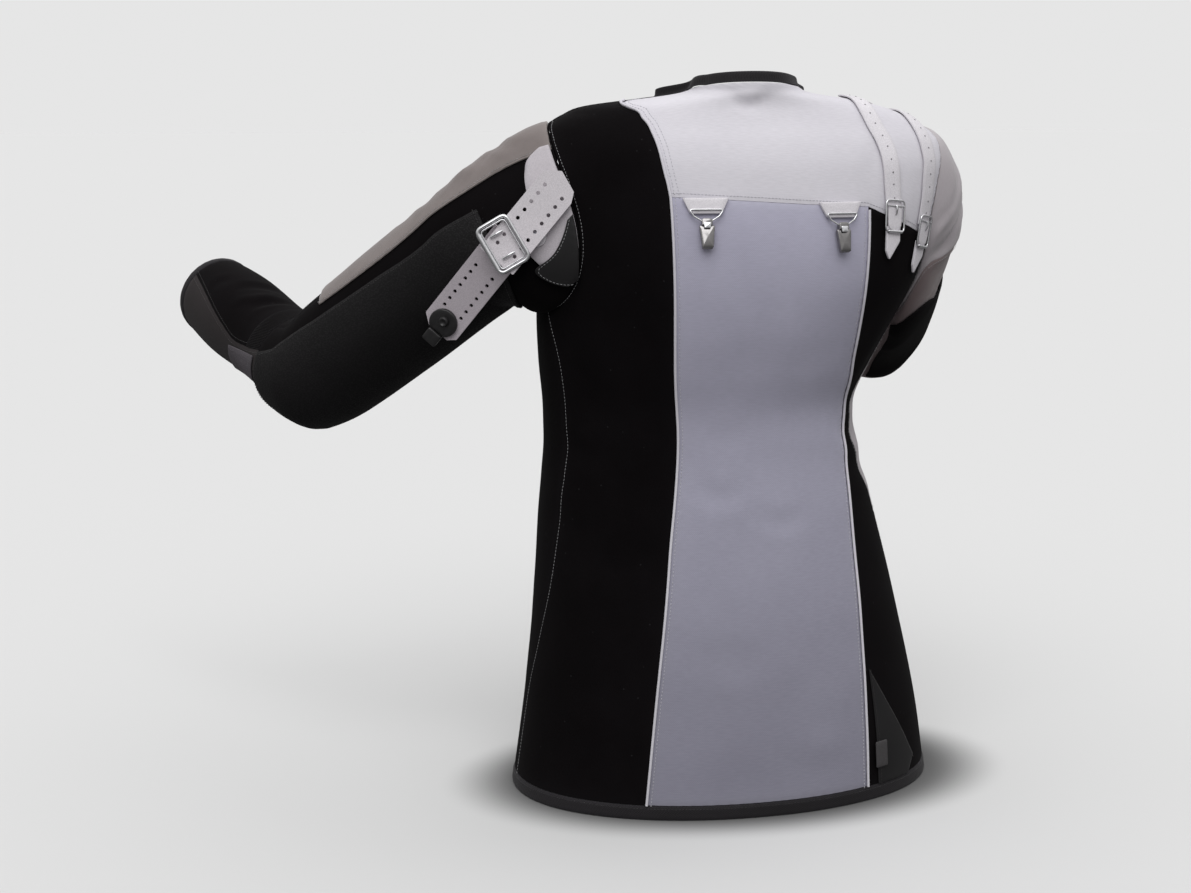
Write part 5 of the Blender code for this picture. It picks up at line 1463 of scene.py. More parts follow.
@dataclass
class Trim:
    """Collar, hem band, piping, front band with its buttons, pocket panel and side tab."""

    wardrobe: Wardrobe
    sewing: Sewing
    cloth: Cloth
    collar_rise: float = 0.0105
    collar_lean: float = 0.35
    collar_gap: float = 0.0010
    piping_radius: float = 0.0013
    band_half_angle: float = 8.0
    buttons: int = 5
    button_radius: float = 0.0095
    tab_seat: tuple[float, float] = (-49.0, 0.675)
    tab_size: tuple[float, float] = (0.016, 0.026)

    def collar(self) -> None:
        """The low knitted collar, with a rounded top."""
        sides = Torso.neck_edge(90, FRONT_EDGE, NECK_CELLS)[:, 0]
        back = Torso.neck_edge(-90, 90, 2 * NECK_CELLS)[1:-1, 0]
        angle = np.concatenate([-sides[::-1], back, sides])
        places = pairs(angle, neck_down(angle))
        surface = self.cloth.surface
        base, out = surface.point(places), surface.outward(places)
        upwards = unit(surface.point(places - (0, STEP)) - base)
        inward = unit(-base * np.array([1, 1, 0]))
        climb = unit(inward * self.collar_lean + np.array([0, 0, 1.0]))
        across = unit(np.cross(unit(np.gradient(base, axis=0)), climb))
        across *= np.sign(np.sum(across * out, -1, keepdims=True))
        foot = base - out * CANVAS / 2 + upwards * self.collar_gap
        rows_low, rows_high = [], []
        for share in np.linspace(0, 1, 13):
            turned = unit(out * (1 - share) + across * share)
            lifted = unit(upwards * (1 - share) + climb * (0.4 + share))
            middle = foot + lifted * self.collar_rise * share
            half = CANVAS / 2 * math.sqrt(max(0.08, 1 - max(0.0, share - 0.75) ** 2 / 0.066))
            rows_high.append(middle + turned * half)
            rows_low.append(middle - turned * half)
        high, low = np.stack(rows_high), np.stack(rows_low)
        uv = np.stack([arc_lengths(high, 1), arc_lengths(high, 0)], -1)
        near = np.exp(-np.minimum(uv[..., 1], uv[-1:, :, 1] - uv[..., 1]) / 0.002)
        outwards = np.broadcast_to(out, high.shape)
        mesh = wall_mesh("collar", low, high, outwards, uv, near)
        made = self.wardrobe.piece("collar", mesh, KNIT_BLACK, KNIT_BLACK)

    def hem_band(self) -> None:
        """The binding that closes the hem."""
        columns = np.linspace(-FRONT_EDGE, FRONT_EDGE, 55 * FINE)
        grid = pairs(columns[None], np.linspace(HEM_DOWN, HEM_DOWN - HEM_BAND, 9)[:, None])
        wall = Wall(low=-0.0026, high=0.0007, drop=0.0010, roll=0.0030, pucker=0.00012)
        self.wardrobe.cloth("hem_band", Panel(self.cloth, grid, wall), KNIT_BLACK)
        row = pairs(columns, np.full(columns.shape, HEM_DOWN - HEM_BAND + 0.003))
        self.sewing.row("stitches_black", self.cloth, row, wall.high)

    def piping(self, side: Side, edge: Places) -> None:
        """A cloth-covered cord on a back seam."""
        radius = self.piping_radius
        places = edge[:-1]
        out = self.cloth.surface.outward(places)
        line = self.cloth.at(places, radius + 0.0001)
        name = f"piping_{side.value}"
        mesh = tube_mesh(name, line, radius, 10, hint=out.mean(0))
        set_uv(mesh, np.array([vertex.co for vertex in mesh.vertices])[:, (0, 2)])
        self.wardrobe.piece(name, mesh, CANVAS_WHITE)

    def front_band(self) -> None:
        """The placket over the front opening, with its buttons."""
        downs = Torso.front_edge(Side.LEFT)[:, 1].copy()
        downs[0], downs[-1] = PANEL_HEM - 0.002, float(neck_down(180.0)) + 0.004
        columns = np.linspace(180 - self.band_half_angle, 180 + self.band_half_angle, 15)
        grid = pairs(columns[None], downs[:, None])
        panel = Panel(self.cloth, grid, Wall(low=LAID, high=LAID + CANVAS))
        self.wardrobe.cloth("front_band", panel, CANVAS_BLACK, LINING)
        self.sewing.borders("stitches_black", panel, (Border.FIRST_COLUMN, Border.LAST_COLUMN), 0.004)

    def button_seats(self) -> list[Seat]:
        """Where the buttons' solids lie."""
        seats = []
        for number in range(1, self.buttons + 1):
            centre = np.mean(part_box(f"button_{number}"), axis=0)
            out = self.cloth.surface.outward(np.array([180.0, -centre[2]]))
            across = np.array([1.0, 0, 0])
            seats.append(Seat(centre - out * 0.0014, across, unit(np.cross(out, across))))
        return seats

    def button_row(self) -> None:
        """Buttons with a rim, a dish and crossed thread."""
        radius = self.button_radius
        profile = [(0.1 * radius, 0.0), (0.9 * radius, 0.0), (radius, 0.0008), (radius, 0.0019),
                   (0.93 * radius, 0.0027), (0.84 * radius, 0.0028), (0.76 * radius, 0.0024),
                   (0.66 * radius, 0.0018), (0.3 * radius, 0.0016), (0.02 * radius, 0.0016)]
        reach = 0.0021
        for number, seat in enumerate(self.button_seats(), 1):
            name = f"button_{number}"
            self.wardrobe.piece(name, lathe_mesh(name, profile, seat), BLACK_PLASTIC)
            for word, lean in (("b", -reach), ("a", reach)):
                points = seat([(-reach, -lean, 0.0017), (0, 0, 0.0023), (reach, lean, 0.0017)])
                name = f"button_thread_{number}_{word}"
                self.wardrobe.piece(name, tube_mesh(name, points, 0.0003, 6, hint=seat.out), GREY_THREAD)

    def pocket_panel(self) -> None:
        """The smoother panel at the right hem, and the bare tab in its seam."""
        low_left, low_right = (-62, PANEL_HEM), (-48, PANEL_HEM)
        high_left, high_right = (-66, 0.690), (-48, 0.588)
        grid = coons(straight(low_left, low_right, 24), straight(high_left, high_right, 24),
                     straight(low_left, high_left, 30), straight(low_right, high_right, 30))
        panel = Panel(self.cloth, grid, Wall(low=LAID, high=LAID + 0.0012, pucker=0.0001))
        self.wardrobe.cloth("pocket_panel", panel, POCKET_CLOTH)
        self.sewing.borders("stitches_black", panel, (Border.LAST_ROW, Border.LAST_COLUMN), 0.003)
        places = np.array([self.tab_seat])
        point = self.cloth.at(places, LAID + 2 * SEAM + 0.0014)[0]
        out = self.cloth.surface.outward(places)[0]
        up = unit(np.array([0, 0, 1.0]) - out * out[2])
        wide, high = self.tab_size[0] / 2, self.tab_size[1] / 2
        outline = rounded(mirrored((wide, -high), (wide, high)), 0.0012)
        seat = Seat(point, np.cross(up, out), up)
        mesh = plate_mesh("side_tab", outline, seat, 0.0, 0.0011, 0.0003, 0.0002)
        self.wardrobe.piece("side_tab", mesh, TAB_GREY)

    def build(self) -> None:
        """Builds the trim."""
        self.collar()
        self.hem_band()
        self.piping(Side.LEFT, joined(Torso.back_seam(Side.LEFT), Torso.yoke_left_edge()))
        self.piping(Side.RIGHT, Torso.back_seam(Side.RIGHT))
        self.front_band()
        self.button_row()
        self.pocket_panel()


def round_turns(side: Side) -> np.ndarray:
    """The turns of a whole sleeve, from its under seam round to it again."""
    return np.linspace(UNDER_SEAM[side], UNDER_SEAM[side] + 360, round(360 / TURN_CELL) + 1)


def sleeve_grid(start: np.ndarray | float, end: np.ndarray | float, turns: np.ndarray, cells: int) -> Places:
    """A grid round a sleeve between two edges, each a number or one for every turn."""
    share = np.linspace(0, 1, cells + 1)[:, None]
    along = np.broadcast_to(start, turns.shape) * (1 - share) + np.broadcast_to(end, turns.shape) * share
    return pairs(np.broadcast_to(turns, along.shape), along)


def strip_grid(low_turns: Sequence[Sequence[float]], high_turns: Sequence[Sequence[float]],
               alongs: np.ndarray, cells: int) -> Places:
    """A grid along a sleeve between two edges given as rows of (along, turn)."""
    low, high = (curve(rows, alongs) for rows in (low_turns, high_turns))
    share = np.linspace(0, 1, cells + 1)
    turn = low[:, None] * (1 - share) + high[:, None] * share
    return pairs(turn, np.broadcast_to(alongs[:, None], turn.shape))


def cuff_panel(cloth: Cloth, arm: ArmSurface, start: float) -> Panel:
    """The bound edge of a sleeve."""
    grid = sleeve_grid(start + SEAM, arm.length, np.linspace(0, 360, 144, endpoint=False), 6)
    wall = Wall(low=-0.0024, high=0.0007, drop=0.0010, roll=0.0028, pucker=0.0001)
    return Panel(cloth, grid, wall, closed=True)


@dataclass
class LeftSleeve:
    """The left sleeve: upper tube, strip, rubber pad, elbow inset, forearm, grip patch and cuff."""

    wardrobe: Wardrobe
    sewing: Sewing
    cloth: Cloth
    elbow: float = 0.346
    inset_end: float = 0.376
    cuff: float = 0.010
    ribs: int = 84
    rib_rise: float = 0.0009
    forearm_front: float = 250.0
    strip_end: float = 0.240
    strip_low: tuple = ((0.0, 43.0), (0.03, 44.0), (0.062, 49.0), (0.124, 53.0), (0.21, 50.0), (0.24, 47.0))
    strip_high: tuple = ((0.0, -26.0), (0.1, -24.0), (0.262, -8.0))
    pad_top: tuple = ((0.052, 64.0), (0.07, 69.0), (0.17, 68.0), (0.24, 62.0), (0.315, 58.0), (0.340, 66.0))
    forearm_seam: tuple = ((0.3465, 66.0), (0.376, 75.0), (0.405, 80.0), (0.43, 73.0), (0.48, 56.0),
                           (0.535, 40.0))

    def upper(self) -> None:
        """The upper tube with the strip and the pad on it."""
        turns = round_turns(Side.LEFT)
        parts = {"left_sleeve_under": turns[:UNDER_CELLS + 1], "left_sleeve_upper": turns[UNDER_CELLS:]}
        for name, part in parts.items():
            panel = Panel(self.cloth, sleeve_grid(0.0004, self.elbow, part, 88), Wall())
            self.wardrobe.cloth(name, panel, CANVAS_BLACK, LINING)
        grid = strip_grid(self.strip_low, self.strip_high, np.linspace(0.001, self.strip_end, 70), 30)
        strip = Panel(self.cloth, grid, Wall(low=ARM_LIFT, high=ARM_LIFT + SUEDE, pucker=0.0003))
        self.wardrobe.cloth("left_sleeve_strip", strip, SUEDE_STRIP)
        self.sewing.borders("stitches_grey", strip, tuple(Border)[:2] + (Border.LAST_ROW,), 0.0025)
        alongs = np.linspace(0.052, 0.340, 78)
        grid = strip_grid(self.pad_top, ((0.0, 255.0), (0.4, 255.0)), alongs, 78)
        pad = Panel(self.cloth, grid, Wall(low=ARM_LIFT, high=ARM_LIFT + RUBBER, drop=0.0009, roll=0.0022,
                                           pucker=0.0001))
        self.wardrobe.cloth("left_arm_pad", pad, GRIP_RUBBER)
        self.sewing.borders("stitches_black", pad, tuple(Border), 0.0035)

    def lower(self, arm: ArmSurface) -> None:
        """The inset, the forearm panels, the grip patch and the cuff."""
        end = arm.length - self.cuff
        front = self.forearm_front
        low, high = (((0.34, turn), (0.56, turn)) for turn in (front - 360, front))
        alongs = np.linspace(self.inset_end, end, 46)
        inner = Panel(self.cloth, strip_grid(low, self.forearm_seam, alongs, 66), Wall())
        self.wardrobe.cloth("left_forearm_inner", inner, CANVAS_BLACK, LINING)
        alongs = np.linspace(self.elbow, end, 56)
        outer = Panel(self.cloth, strip_grid(self.forearm_seam, high, alongs, 72), Wall())
        self.wardrobe.cloth("left_forearm_outer", outer, CHARCOAL_CLOTH, LINING)
        self.sewing.borders("stitches_black", outer, (Border.FIRST_COLUMN,), 0.004)
        self.sewing.borders("stitches_black", inner, (Border.LAST_COLUMN,), 0.004)
        cells = self.ribs * 6
        grid = strip_grid(low, self.forearm_seam, np.linspace(self.elbow, self.inset_end, 9), cells)

        def ribbed(s: np.ndarray, t: np.ndarray) -> np.ndarray:
            """The ribs' height over the inset."""
            phase = np.broadcast_to(np.arange(cells + 1) / 6 * math.pi, s.shape)
            ends = smooth_step(np.minimum(t, t[-1:] - t) / 0.004)
            return self.rib_rise * np.abs(np.sin(phase)) * (0.4 + 0.6 * ends)

        inset = Panel(self.cloth, grid, Wall(high=-0.0002, drop=0.0003, pucker=0.0), rise=ribbed)
        self.wardrobe.cloth("left_elbow_inset", inset, RIB_BLACK, LINING)
        bottom, top = straight((76.0, 0.350), (108.0, 0.350), 24), straight((90.0, 0.410), (132.0, 0.415), 24)
        grid = coons(bottom, top, straight(bottom[0], top[0], 30), straight(bottom[-1], top[-1], 30))
        patch = Panel(self.cloth, grid, Wall(low=ARM_LIFT, high=ARM_LIFT + 0.0014, pucker=0.0))
        self.wardrobe.cloth("left_grip_patch", patch, GRIP_PATCH)
        self.wardrobe.cloth("left_cuff", cuff_panel(self.cloth, arm, end), KNIT_BLACK)

    def build(self) -> None:
        """Builds the left sleeve."""
        self.upper()
        self.lower(self.cloth.surface)


@dataclass
class RightSleeve:
    """The right sleeve: light cap, elbow panel with its pad, forearm and cuff."""

    wardrobe: Wardrobe
    sewing: Sewing
    cloth: Cloth
    elbow: float = 0.300
    cuff: float = 0.010
    pad_turns: tuple[float, float] = (60.0, 180.0)
    pad_end: float = 0.222
    pad_lift: float = 0.0012
    cap_edge: tuple = ((195.0, 0.016), (250.0, 0.080), (300.0, 0.150), (360.0, 0.140), (400.0, 0.108),
                       (420.0, 0.084), (442.0, 0.055), (460.0, 0.031), (478.0, 0.014), (490.0, 0.009),
                       (520.0, 0.010), (555.0, 0.016))
    pad_start: tuple = ((60.0, 0.130), (96.0, 0.112), (114.0, 0.067), (136.0, 0.044), (160.0, 0.038),
                        (184.0, 0.040))

    def build(self) -> None:
        """Builds the right sleeve."""
        arm, turns = self.cloth.surface, round_turns(Side.RIGHT)
        edge = curve(self.cap_edge, turns)
        cap = Panel(self.cloth, sleeve_grid(0.0004, edge, turns, 34), Wall())
        self.wardrobe.cloth("right_sleeve_cap", cap, SILVER_CLOTH, LINING)
        elbow = Panel(self.cloth, sleeve_grid(edge, self.elbow, turns, 60), Wall(pucker=0.0003))
        self.wardrobe.cloth("right_elbow_panel", elbow, SUEDE_BAND, LINING)
        self.sewing.borders("stitches_grey", elbow, (Border.FIRST_ROW,), 0.003)
        pad_turns = np.linspace(*self.pad_turns, 81)
        grid = sleeve_grid(curve(self.pad_start, pad_turns), self.pad_end, pad_turns, 48)
        pad = Panel(self.cloth, grid, Wall(low=self.pad_lift, high=self.pad_lift + CANVAS, pucker=0.0001))
        self.wardrobe.cloth("right_elbow_pad", pad, CANVAS_BLACK)
        end = arm.length - self.cuff
        forearm = Panel(self.cloth, sleeve_grid(self.elbow, end, turns, 40), Wall())
        self.wardrobe.cloth("right_forearm", forearm, SILVER_CLOTH, LINING)
        self.sewing.borders("stitches_pale", forearm, (Border.FIRST_ROW,), 0.003)
        self.wardrobe.cloth("right_cuff", cuff_panel(self.cloth, arm, end), KNIT_BLACK)


@dataclass
class BackClips:
    """Two tabs under the yoke, each with a wire loop and a sprung clip."""

    wardrobe: Wardrobe
    cloth: Cloth
    across: float = 0.066
    corners: tuple[float, float] = (0.1225, 0.1275)
    tab_top: float = 0.022
    tab_foot: float = 0.015
    tab_high: float = 0.015
    wire: float = 0.0009

    def seat(self, side: Side, down: float) -> Seat:
        """The seat of one side's tab."""
        reach = self.across * side.sign
        angle = float(seam_angle(((0.1, reach), (0.2, reach)), np.array(down)))
        places = pairs(angle, down)
        out = self.cloth.surface.outward(places)
        up = unit(np.array([0, 0, 1.0]) - out * out[2])
        return Seat(self.cloth.surface.point(places) + out * 0.0004, np.cross(up, out), up)

    def build(self) -> None:
        """Builds both clips."""
        for side, down in zip((Side.LEFT, Side.RIGHT), self.corners):
            seat, word = self.seat(side, down), side.value
            high = self.tab_high
            outline = rounded(mirrored((self.tab_foot, -high), (self.tab_top, 0.0)),
                              (0.0035, 0.0005, 0.0005, 0.0035))
            tab = plate_mesh(f"clip_tab_{word}", outline, seat, 0.0004, 0.0029, 0.0006, 0.0004)
            self.wardrobe.piece(f"clip_tab_{word}", tab, STRAP_LEATHER)
            corners = rounded(mirrored((0.0050, -high - 0.0072), (0.0120, -high - 0.0028),
                                       (0.0165, -high + 0.0035)), 0.0022, 6)
            ring = [(x, y, 0.0037 if y < -high else 0.0041) for x, y in corners]
            loop = tube_mesh(f"clip_loop_{word}", seat(ring), self.wire, 10, closed=True, hint=seat.out)
            self.wardrobe.piece(f"clip_loop_{word}", loop, CHROME)
            top = -high - 0.0052
            bracket = rounded(mirrored((0.0050, top - 0.0070), (0.0050, top - 0.0010), (0.0032, top)),
                              0.0008, 3)
            jaw = rounded(mirrored((0.0052, top - 0.0278), (0.0074, top - 0.0066)), 0.0010, 4)
            inner_jaw = [(0.96 * x, y - 0.0006) for x, y in jaw]
            lever = rounded(mirrored((0.0030, top - 0.0098), (0.0036, top - 0.0040)), 0.0008, 3)
            parts = [plate_mesh("part", bracket, seat, 0.0010, 0.0062, 0.0006, 0.0003),
                     plate_mesh("part", jaw, seat, 0.0026, 0.0048, 0.0007, 0.0010),
                     plate_mesh("part", inner_jaw, seat, 0.0004, 0.0022, 0.0004)]
            name = f"clip_jaw_{word}"
            self.wardrobe.piece(name, merged(name, parts), DARK_CHROME)
            # The lever is a thin plate of bright chrome laid on the dark-chrome bracket where its highlight
            # shows: a painted highlight.
            lever_highlight = plate_mesh(f"clip_lever_{word}", lever, seat, 0.0063, 0.0072, 0.0003, 0.0004)
            self.wardrobe.piece(f"clip_lever_{word}", lever_highlight, CHROME)


def buckle_ring(width: float, height: float, corner: float, cells: int = 5) -> Outline:
    """Points of a rounded rectangle round the origin."""
    x, y = width / 2, height / 2
    return rounded(mirrored((x, -y), (x, y)), corner, cells)


@dataclass
class ShoulderStraps:
    """Two perforated straps over the right shoulder, each in a roller buckle with a free tail."""

    wardrobe: Wardrobe
    cloth: Cloth
    half: float = 0.0095
    lifts: tuple[float, float] = (0.0018, 0.0014)
    thick: float = 0.0018
    wire: float = 0.0010
    mark: float = 0.0008
    lines: tuple = (
        ((-112.0, 0.056), (-102.0, 0.042), (-90.0, 0.031), (-70.0, 0.036), (-60.0, 0.056), (-55.0, 0.086),
         (-53.0, 0.115), (-52.5, 0.136)),
        ((-100.0, 0.0515), (-95.0, 0.048), (-90.0, 0.0455), (-80.0, 0.050), (-72.0, 0.070), (-68.0, 0.100),
         (-66.5, 0.130), (-66.0, 0.152)),
    )

    def strap(self, number: int, rows: tuple) -> tuple[Points, Points, Points]:
        """Builds a strap, with grey discs for its holes that carry painted shade.

        Args:
            number: the strap's number, from 1.
            rows: the places that its middle runs through.

        Returns:
            The strap's last point, and the directions ahead and outwards there.
        """
        at = np.linspace(0, len(rows) - 1, 90)
        table = [(k, *row) for k, row in enumerate(rows)]
        places = pairs(curve(table, at, 1), curve(table, at, 2))
        middle, out = self.cloth.at(places), self.cloth.surface.outward(places)
        ahead = unit(np.gradient(middle, axis=0))
        side = unit(np.cross(out, ahead))
        shares = np.linspace(-1, 1, 13)
        bow = (shares**2)[None, :, None] * 0.0004
        raised = middle + out * self.lifts[number - 1]
        base = raised[:, None] + side[:, None] * shares[None, :, None] * self.half
        low = base - out[:, None] * bow
        roll = (0.0007 * (1 - smooth_step((1 - np.abs(shares)) / 0.22)))[None, :, None]
        high = low + out[:, None] * (self.thick - roll)
        uv = np.stack([arc_lengths(low, 1), arc_lengths(low, 0)], -1)
        near = np.broadcast_to(np.exp(-(1 - np.abs(shares)) * 5), uv.shape[:2])
        name = f"shoulder_strap_{number}"
        mesh = wall_mesh(name, low, high, np.broadcast_to(out[:, None], high.shape), uv, near)
        self.wardrobe.piece(name, mesh, STRAP_LEATHER, STRAP_LEATHER)
        run = arc_lengths(middle, 0)
        # Each hole is a grey disc on the strap. Its tone is painted shade in the hole, together with the dark
        # cloth behind it.
        marks, profile = [], [(self.mark, -0.0004), (self.mark, 0.00006), (0.0001, 0.00006)]
        for place in np.arange(run[-1] - 0.012, 0.012, -0.0128):
            k = int(np.searchsorted(run, place))
            seat = Seat(raised[k] + out[k] * self.thick, side[k], ahead[k])
            marks.append(lathe_mesh("mark", profile, seat, 12))
        name = f"strap_holes_{number}"
        self.wardrobe.piece(name, merged(name, marks), HOLE_SHADE_GREY)
        return middle[-1], ahead[-1], out[-1]

    def build(self) -> None:
        """Builds both straps with their buckles."""
        for number, rows in enumerate(self.lines, 1):
            end, ahead, out = self.strap(number, rows)
            seat = Seat(end + out * 0.0052, np.cross(-ahead, out), -ahead)
            ring = [(x, y - 0.006, 0.0006 * math.cos(x * 260)) for x, y in buckle_ring(0.023, 0.030, 0.0045)]
            name = f"shoulder_buckle_{number}"
            bar = [(-0.0105, 0.0035, 0.0), (0.0105, 0.0035, 0.0)]
            roller = [(-0.0082, -0.0210, 0.0), (0.0082, -0.0210, 0.0)]
            prong = [(0.0, 0.0040, 0.0010), (0.0, 0.0010, 0.0022), (0.0, -0.0030, 0.0016),
                     (0.0, -0.0052, 0.0002)]
            parts = [tube_mesh("part", seat(ring), self.wire, 10, closed=True, hint=seat.out),
                     tube_mesh("part", seat(bar), 0.0008, 10, hint=seat.out),
                     tube_mesh("part", seat(roller), 0.0016, 14, hint=seat.out),
                     tube_mesh("part", seat(prong), (0.0011, 0.0010, 0.0009, 0.0006), 8, hint=seat.across)]
            self.wardrobe.piece(name, merged(name, parts), CHROME)
            tail = rounded([(-0.0085, -0.040), (-0.004, -0.048), (0.0085, -0.030), (0.0085, -0.016),
                            (-0.0085, -0.016)], (0.001, 0.001, 0.001, 0.0004, 0.0004), 3)
            name = f"shoulder_tail_{number}"
            mesh = plate_mesh(name, tail, seat, -0.0040, -0.0020, 0.0004, 0.0002)
            self.wardrobe.piece(name, mesh, STRAP_LEATHER)
            tongue = rounded(mirrored((0.0080, -0.0195), (0.0085, 0.004)),
                             (0.0070, 0.0004, 0.0004, 0.0070), 6)
            name = f"shoulder_tongue_{number}"
            mesh = plate_mesh(name, tongue, seat, -0.0019, -0.0003, 0.0004, 0.0003)
            self.wardrobe.piece(name, mesh, STRAP_LEATHER)


class PerforatedTree(GeometryTree):
    """Geometry nodes that punch two rows of round holes through a strap's outline."""

    SIZES = {"Row Gap": 0.0208, "Pitch": 0.0088, "Count": 7, "First": 0.0275, "Hole Radius": 0.0022,
             "Thickness": 0.0026}

    def __init__(self, finish: Material) -> None:
        super().__init__("Perforated strap", self.SIZES)
        g, given, node = self.graph, self.given, self.node
        run = g.math("MULTIPLY", g.math("SUBTRACT", given["Count"], 1.0), given["Pitch"])
        spots = node("GeometryNodeMeshGrid", {"Size X": given["Row Gap"], "Size Y": run, "Vertices X": 2,
                                              "Vertices Y": given["Count"]})
        middle = g.math("ADD", given["First"], g.math("MULTIPLY", run, 0.5))
        moved = node("ShaderNodeCombineXYZ", {1: middle})
        spots = node("GeometryNodeTransform", {0: spots, "Translation": moved})
        circle = node("GeometryNodeCurvePrimitiveCircle", {"Resolution": 16, "Radius": given["Hole Radius"]})
        holes = node("GeometryNodeInstanceOnPoints", {"Points": spots, "Instance": circle})
        holes = node("GeometryNodeRealizeInstances", {0: holes})
        outline = node("GeometryNodeMeshToCurve", {0: given["Geometry"]})
        face = node("GeometryNodeFillCurve", {0: self.together(outline, holes)})
        up = node("ShaderNodeCombineXYZ", {2: 1.0})
        raised = node("GeometryNodeExtrudeMesh", {"Mesh": face, "Offset": up, "Individual": False,
                                                  "Offset Scale": given["Thickness"]})
        whole = self.together(raised, node("GeometryNodeFlipFaces", {0: face}))
        self.end(node("GeometryNodeMergeByDistance", {"Geometry": whole, "Distance": 0.00001}), finish)

    def together(self, *shapes: Socket) -> Socket:
        """Joins shapes."""
        both = self.graph.add("GeometryNodeJoinGeometry")
        for shape in shapes:
            self.tree.links.new(shape, both.inputs[0])
        return both.outputs[0]


@dataclass
class SlingFittings:
    """The anchor, flap and tab at the armhole, both perforated straps, the buckle and the hook."""

    wardrobe: Wardrobe
    sewing: Sewing
    cloth: Cloth
    lower_ends: tuple = ((0.3031, 0.0001, -0.2522), (0.2401, 0.0556, -0.1596))
    upper_ends: tuple = ((0.2552, 0.0575, -0.1816), (0.1890, 0.0664, -0.1013))
    outwards: tuple = (0.230, 0.958, 0.172)
    half: float = 0.0200
    thick: float = 0.0026
    hole: float = 0.0019
    hole_row: float = 0.0104
    anchor_lift: float = 0.0030
    anchor_thick: float = 0.0022
    anchor_edge: tuple = ((38.0, 0.004), (46.0, 0.016), (52.0, 0.019), (70.0, 0.024), (90.0, 0.031),
                          (98.0, 0.034), (106.0, 0.030))
    flap_edge: tuple = ((84.0, 0.004), (100.0, 0.020), (110.0, 0.033), (118.0, 0.026), (126.0, 0.010))
    buckle_point: tuple = (0.2501, 0.0628, -0.1650)
    buckle_along: tuple = (-0.866, 0.118, 0.502)
    buckle_size: tuple[float, float] = (0.0470, 0.0320)
    buckle_wire: float = 0.0019

    def strap_seat(self, ends: tuple) -> tuple[Seat, float]:
        """A seat at a strap's lower end, its y along the strap, and the strap's length."""
        low, high = (np.array(p) for p in ends)
        along, back = unit(high - low), np.array(self.outwards)
        back = unit(back - along * (back @ along))
        return Seat(low, np.cross(along, back), along), float(np.linalg.norm(high - low))

    def strap(self, name: str, leather: Finish, seat: Seat, outline: Outline, first: float, pitch: float,
              count: int) -> None:
        """Builds a perforated strap with softened edges.

        Args:
            name: the strap's name.
            leather: its finish.
            seat: its lower end.
            outline: its outline on the seat.
            first: how far along its first holes are.
            pitch: how far apart they are.
            count: how many each row has.
        """
        flat = bpy.data.meshes.new("outline")
        edges = [(k, (k + 1) % len(outline)) for k in range(len(outline))]
        flat.from_pydata([(x, y, 0) for x, y in outline], edges, [])
        sizes = {"Row Gap": 2 * self.hole_row, "Pitch": pitch, "Count": count, "First": first,
                 "Hole Radius": self.hole, "Thickness": self.thick}
        mesh = self.punch.run(flat, name, sizes)
        points = np.empty(len(mesh.vertices) * 3)
        mesh.vertices.foreach_get("co", points)
        mesh.vertices.foreach_set("co", seat(points.reshape(-1, 3)).ravel())
        outside_faces(mesh)
        mesh.shade_smooth()
        mesh.set_sharp_from_angle(angle=math.radians(30))
        made = self.wardrobe.piece(name, mesh, leather)
        soft = made.modifiers.new("soft edges", "BEVEL")
        soft.width, soft.segments, soft.limit_method = 0.0004, 2, "ANGLE"
        soft.angle_limit = math.radians(40)

    def anchor(self) -> None:
        """The white anchor and the black flap at the armhole."""
        turns = np.linspace(40, 106, 54)
        grid = sleeve_grid(0.0015, curve(self.anchor_edge, turns), turns, 12)
        high = self.anchor_lift + self.anchor_thick
        wall = Wall(low=self.anchor_lift, high=high, pucker=0.0, drop=0.0008, roll=0.002)
        self.wardrobe.cloth("sling_anchor", Panel(self.cloth, grid, wall), ANCHOR_LEATHER)
        turns = np.linspace(86, 126, 40)
        grid = sleeve_grid(0.0015, curve(self.flap_edge, turns), turns, 16)
        lift = high + ARM_LIFT
        flap = Panel(self.cloth, grid, Wall(low=lift, high=lift + SUEDE, pucker=0.0002))
        self.wardrobe.cloth("armhole_flap", flap, POCKET_CLOTH)
        self.sewing.borders("stitches_grey", flap, (Border.LAST_ROW,), 0.0035)

    def rivet(self) -> None:
        """The round tab and its domed rivet."""
        place = np.array([88.0, 0.0265])
        surface = self.cloth.surface
        point, out = surface.point(place), surface.outward(place)
        up = unit(surface.point(place - (0, 0.001)) - point)
        lift = self.anchor_lift + self.anchor_thick + 2 * SEAM
        seat = Seat(point + out * lift, np.cross(up, out), up)
        tab = plate_mesh("rivet_tab", arc(0, 0, 0.0085, 0, 350, 35), seat, 0, 0.0016, 0.0005, 0.0)
        self.wardrobe.piece("rivet_tab", tab, STRAP_LEATHER)
        profile = [(0.0005, 0.0019), (0.0046, 0.0019), (0.0048, 0.0023), (0.0046, 0.0027), (0.0038, 0.0031),
                   (0.0025, 0.0034), (0.0012, 0.0035), (0.0001, 0.0035)]
        self.wardrobe.piece("rivet", lathe_mesh("rivet", profile, seat), RIVET_STEEL)

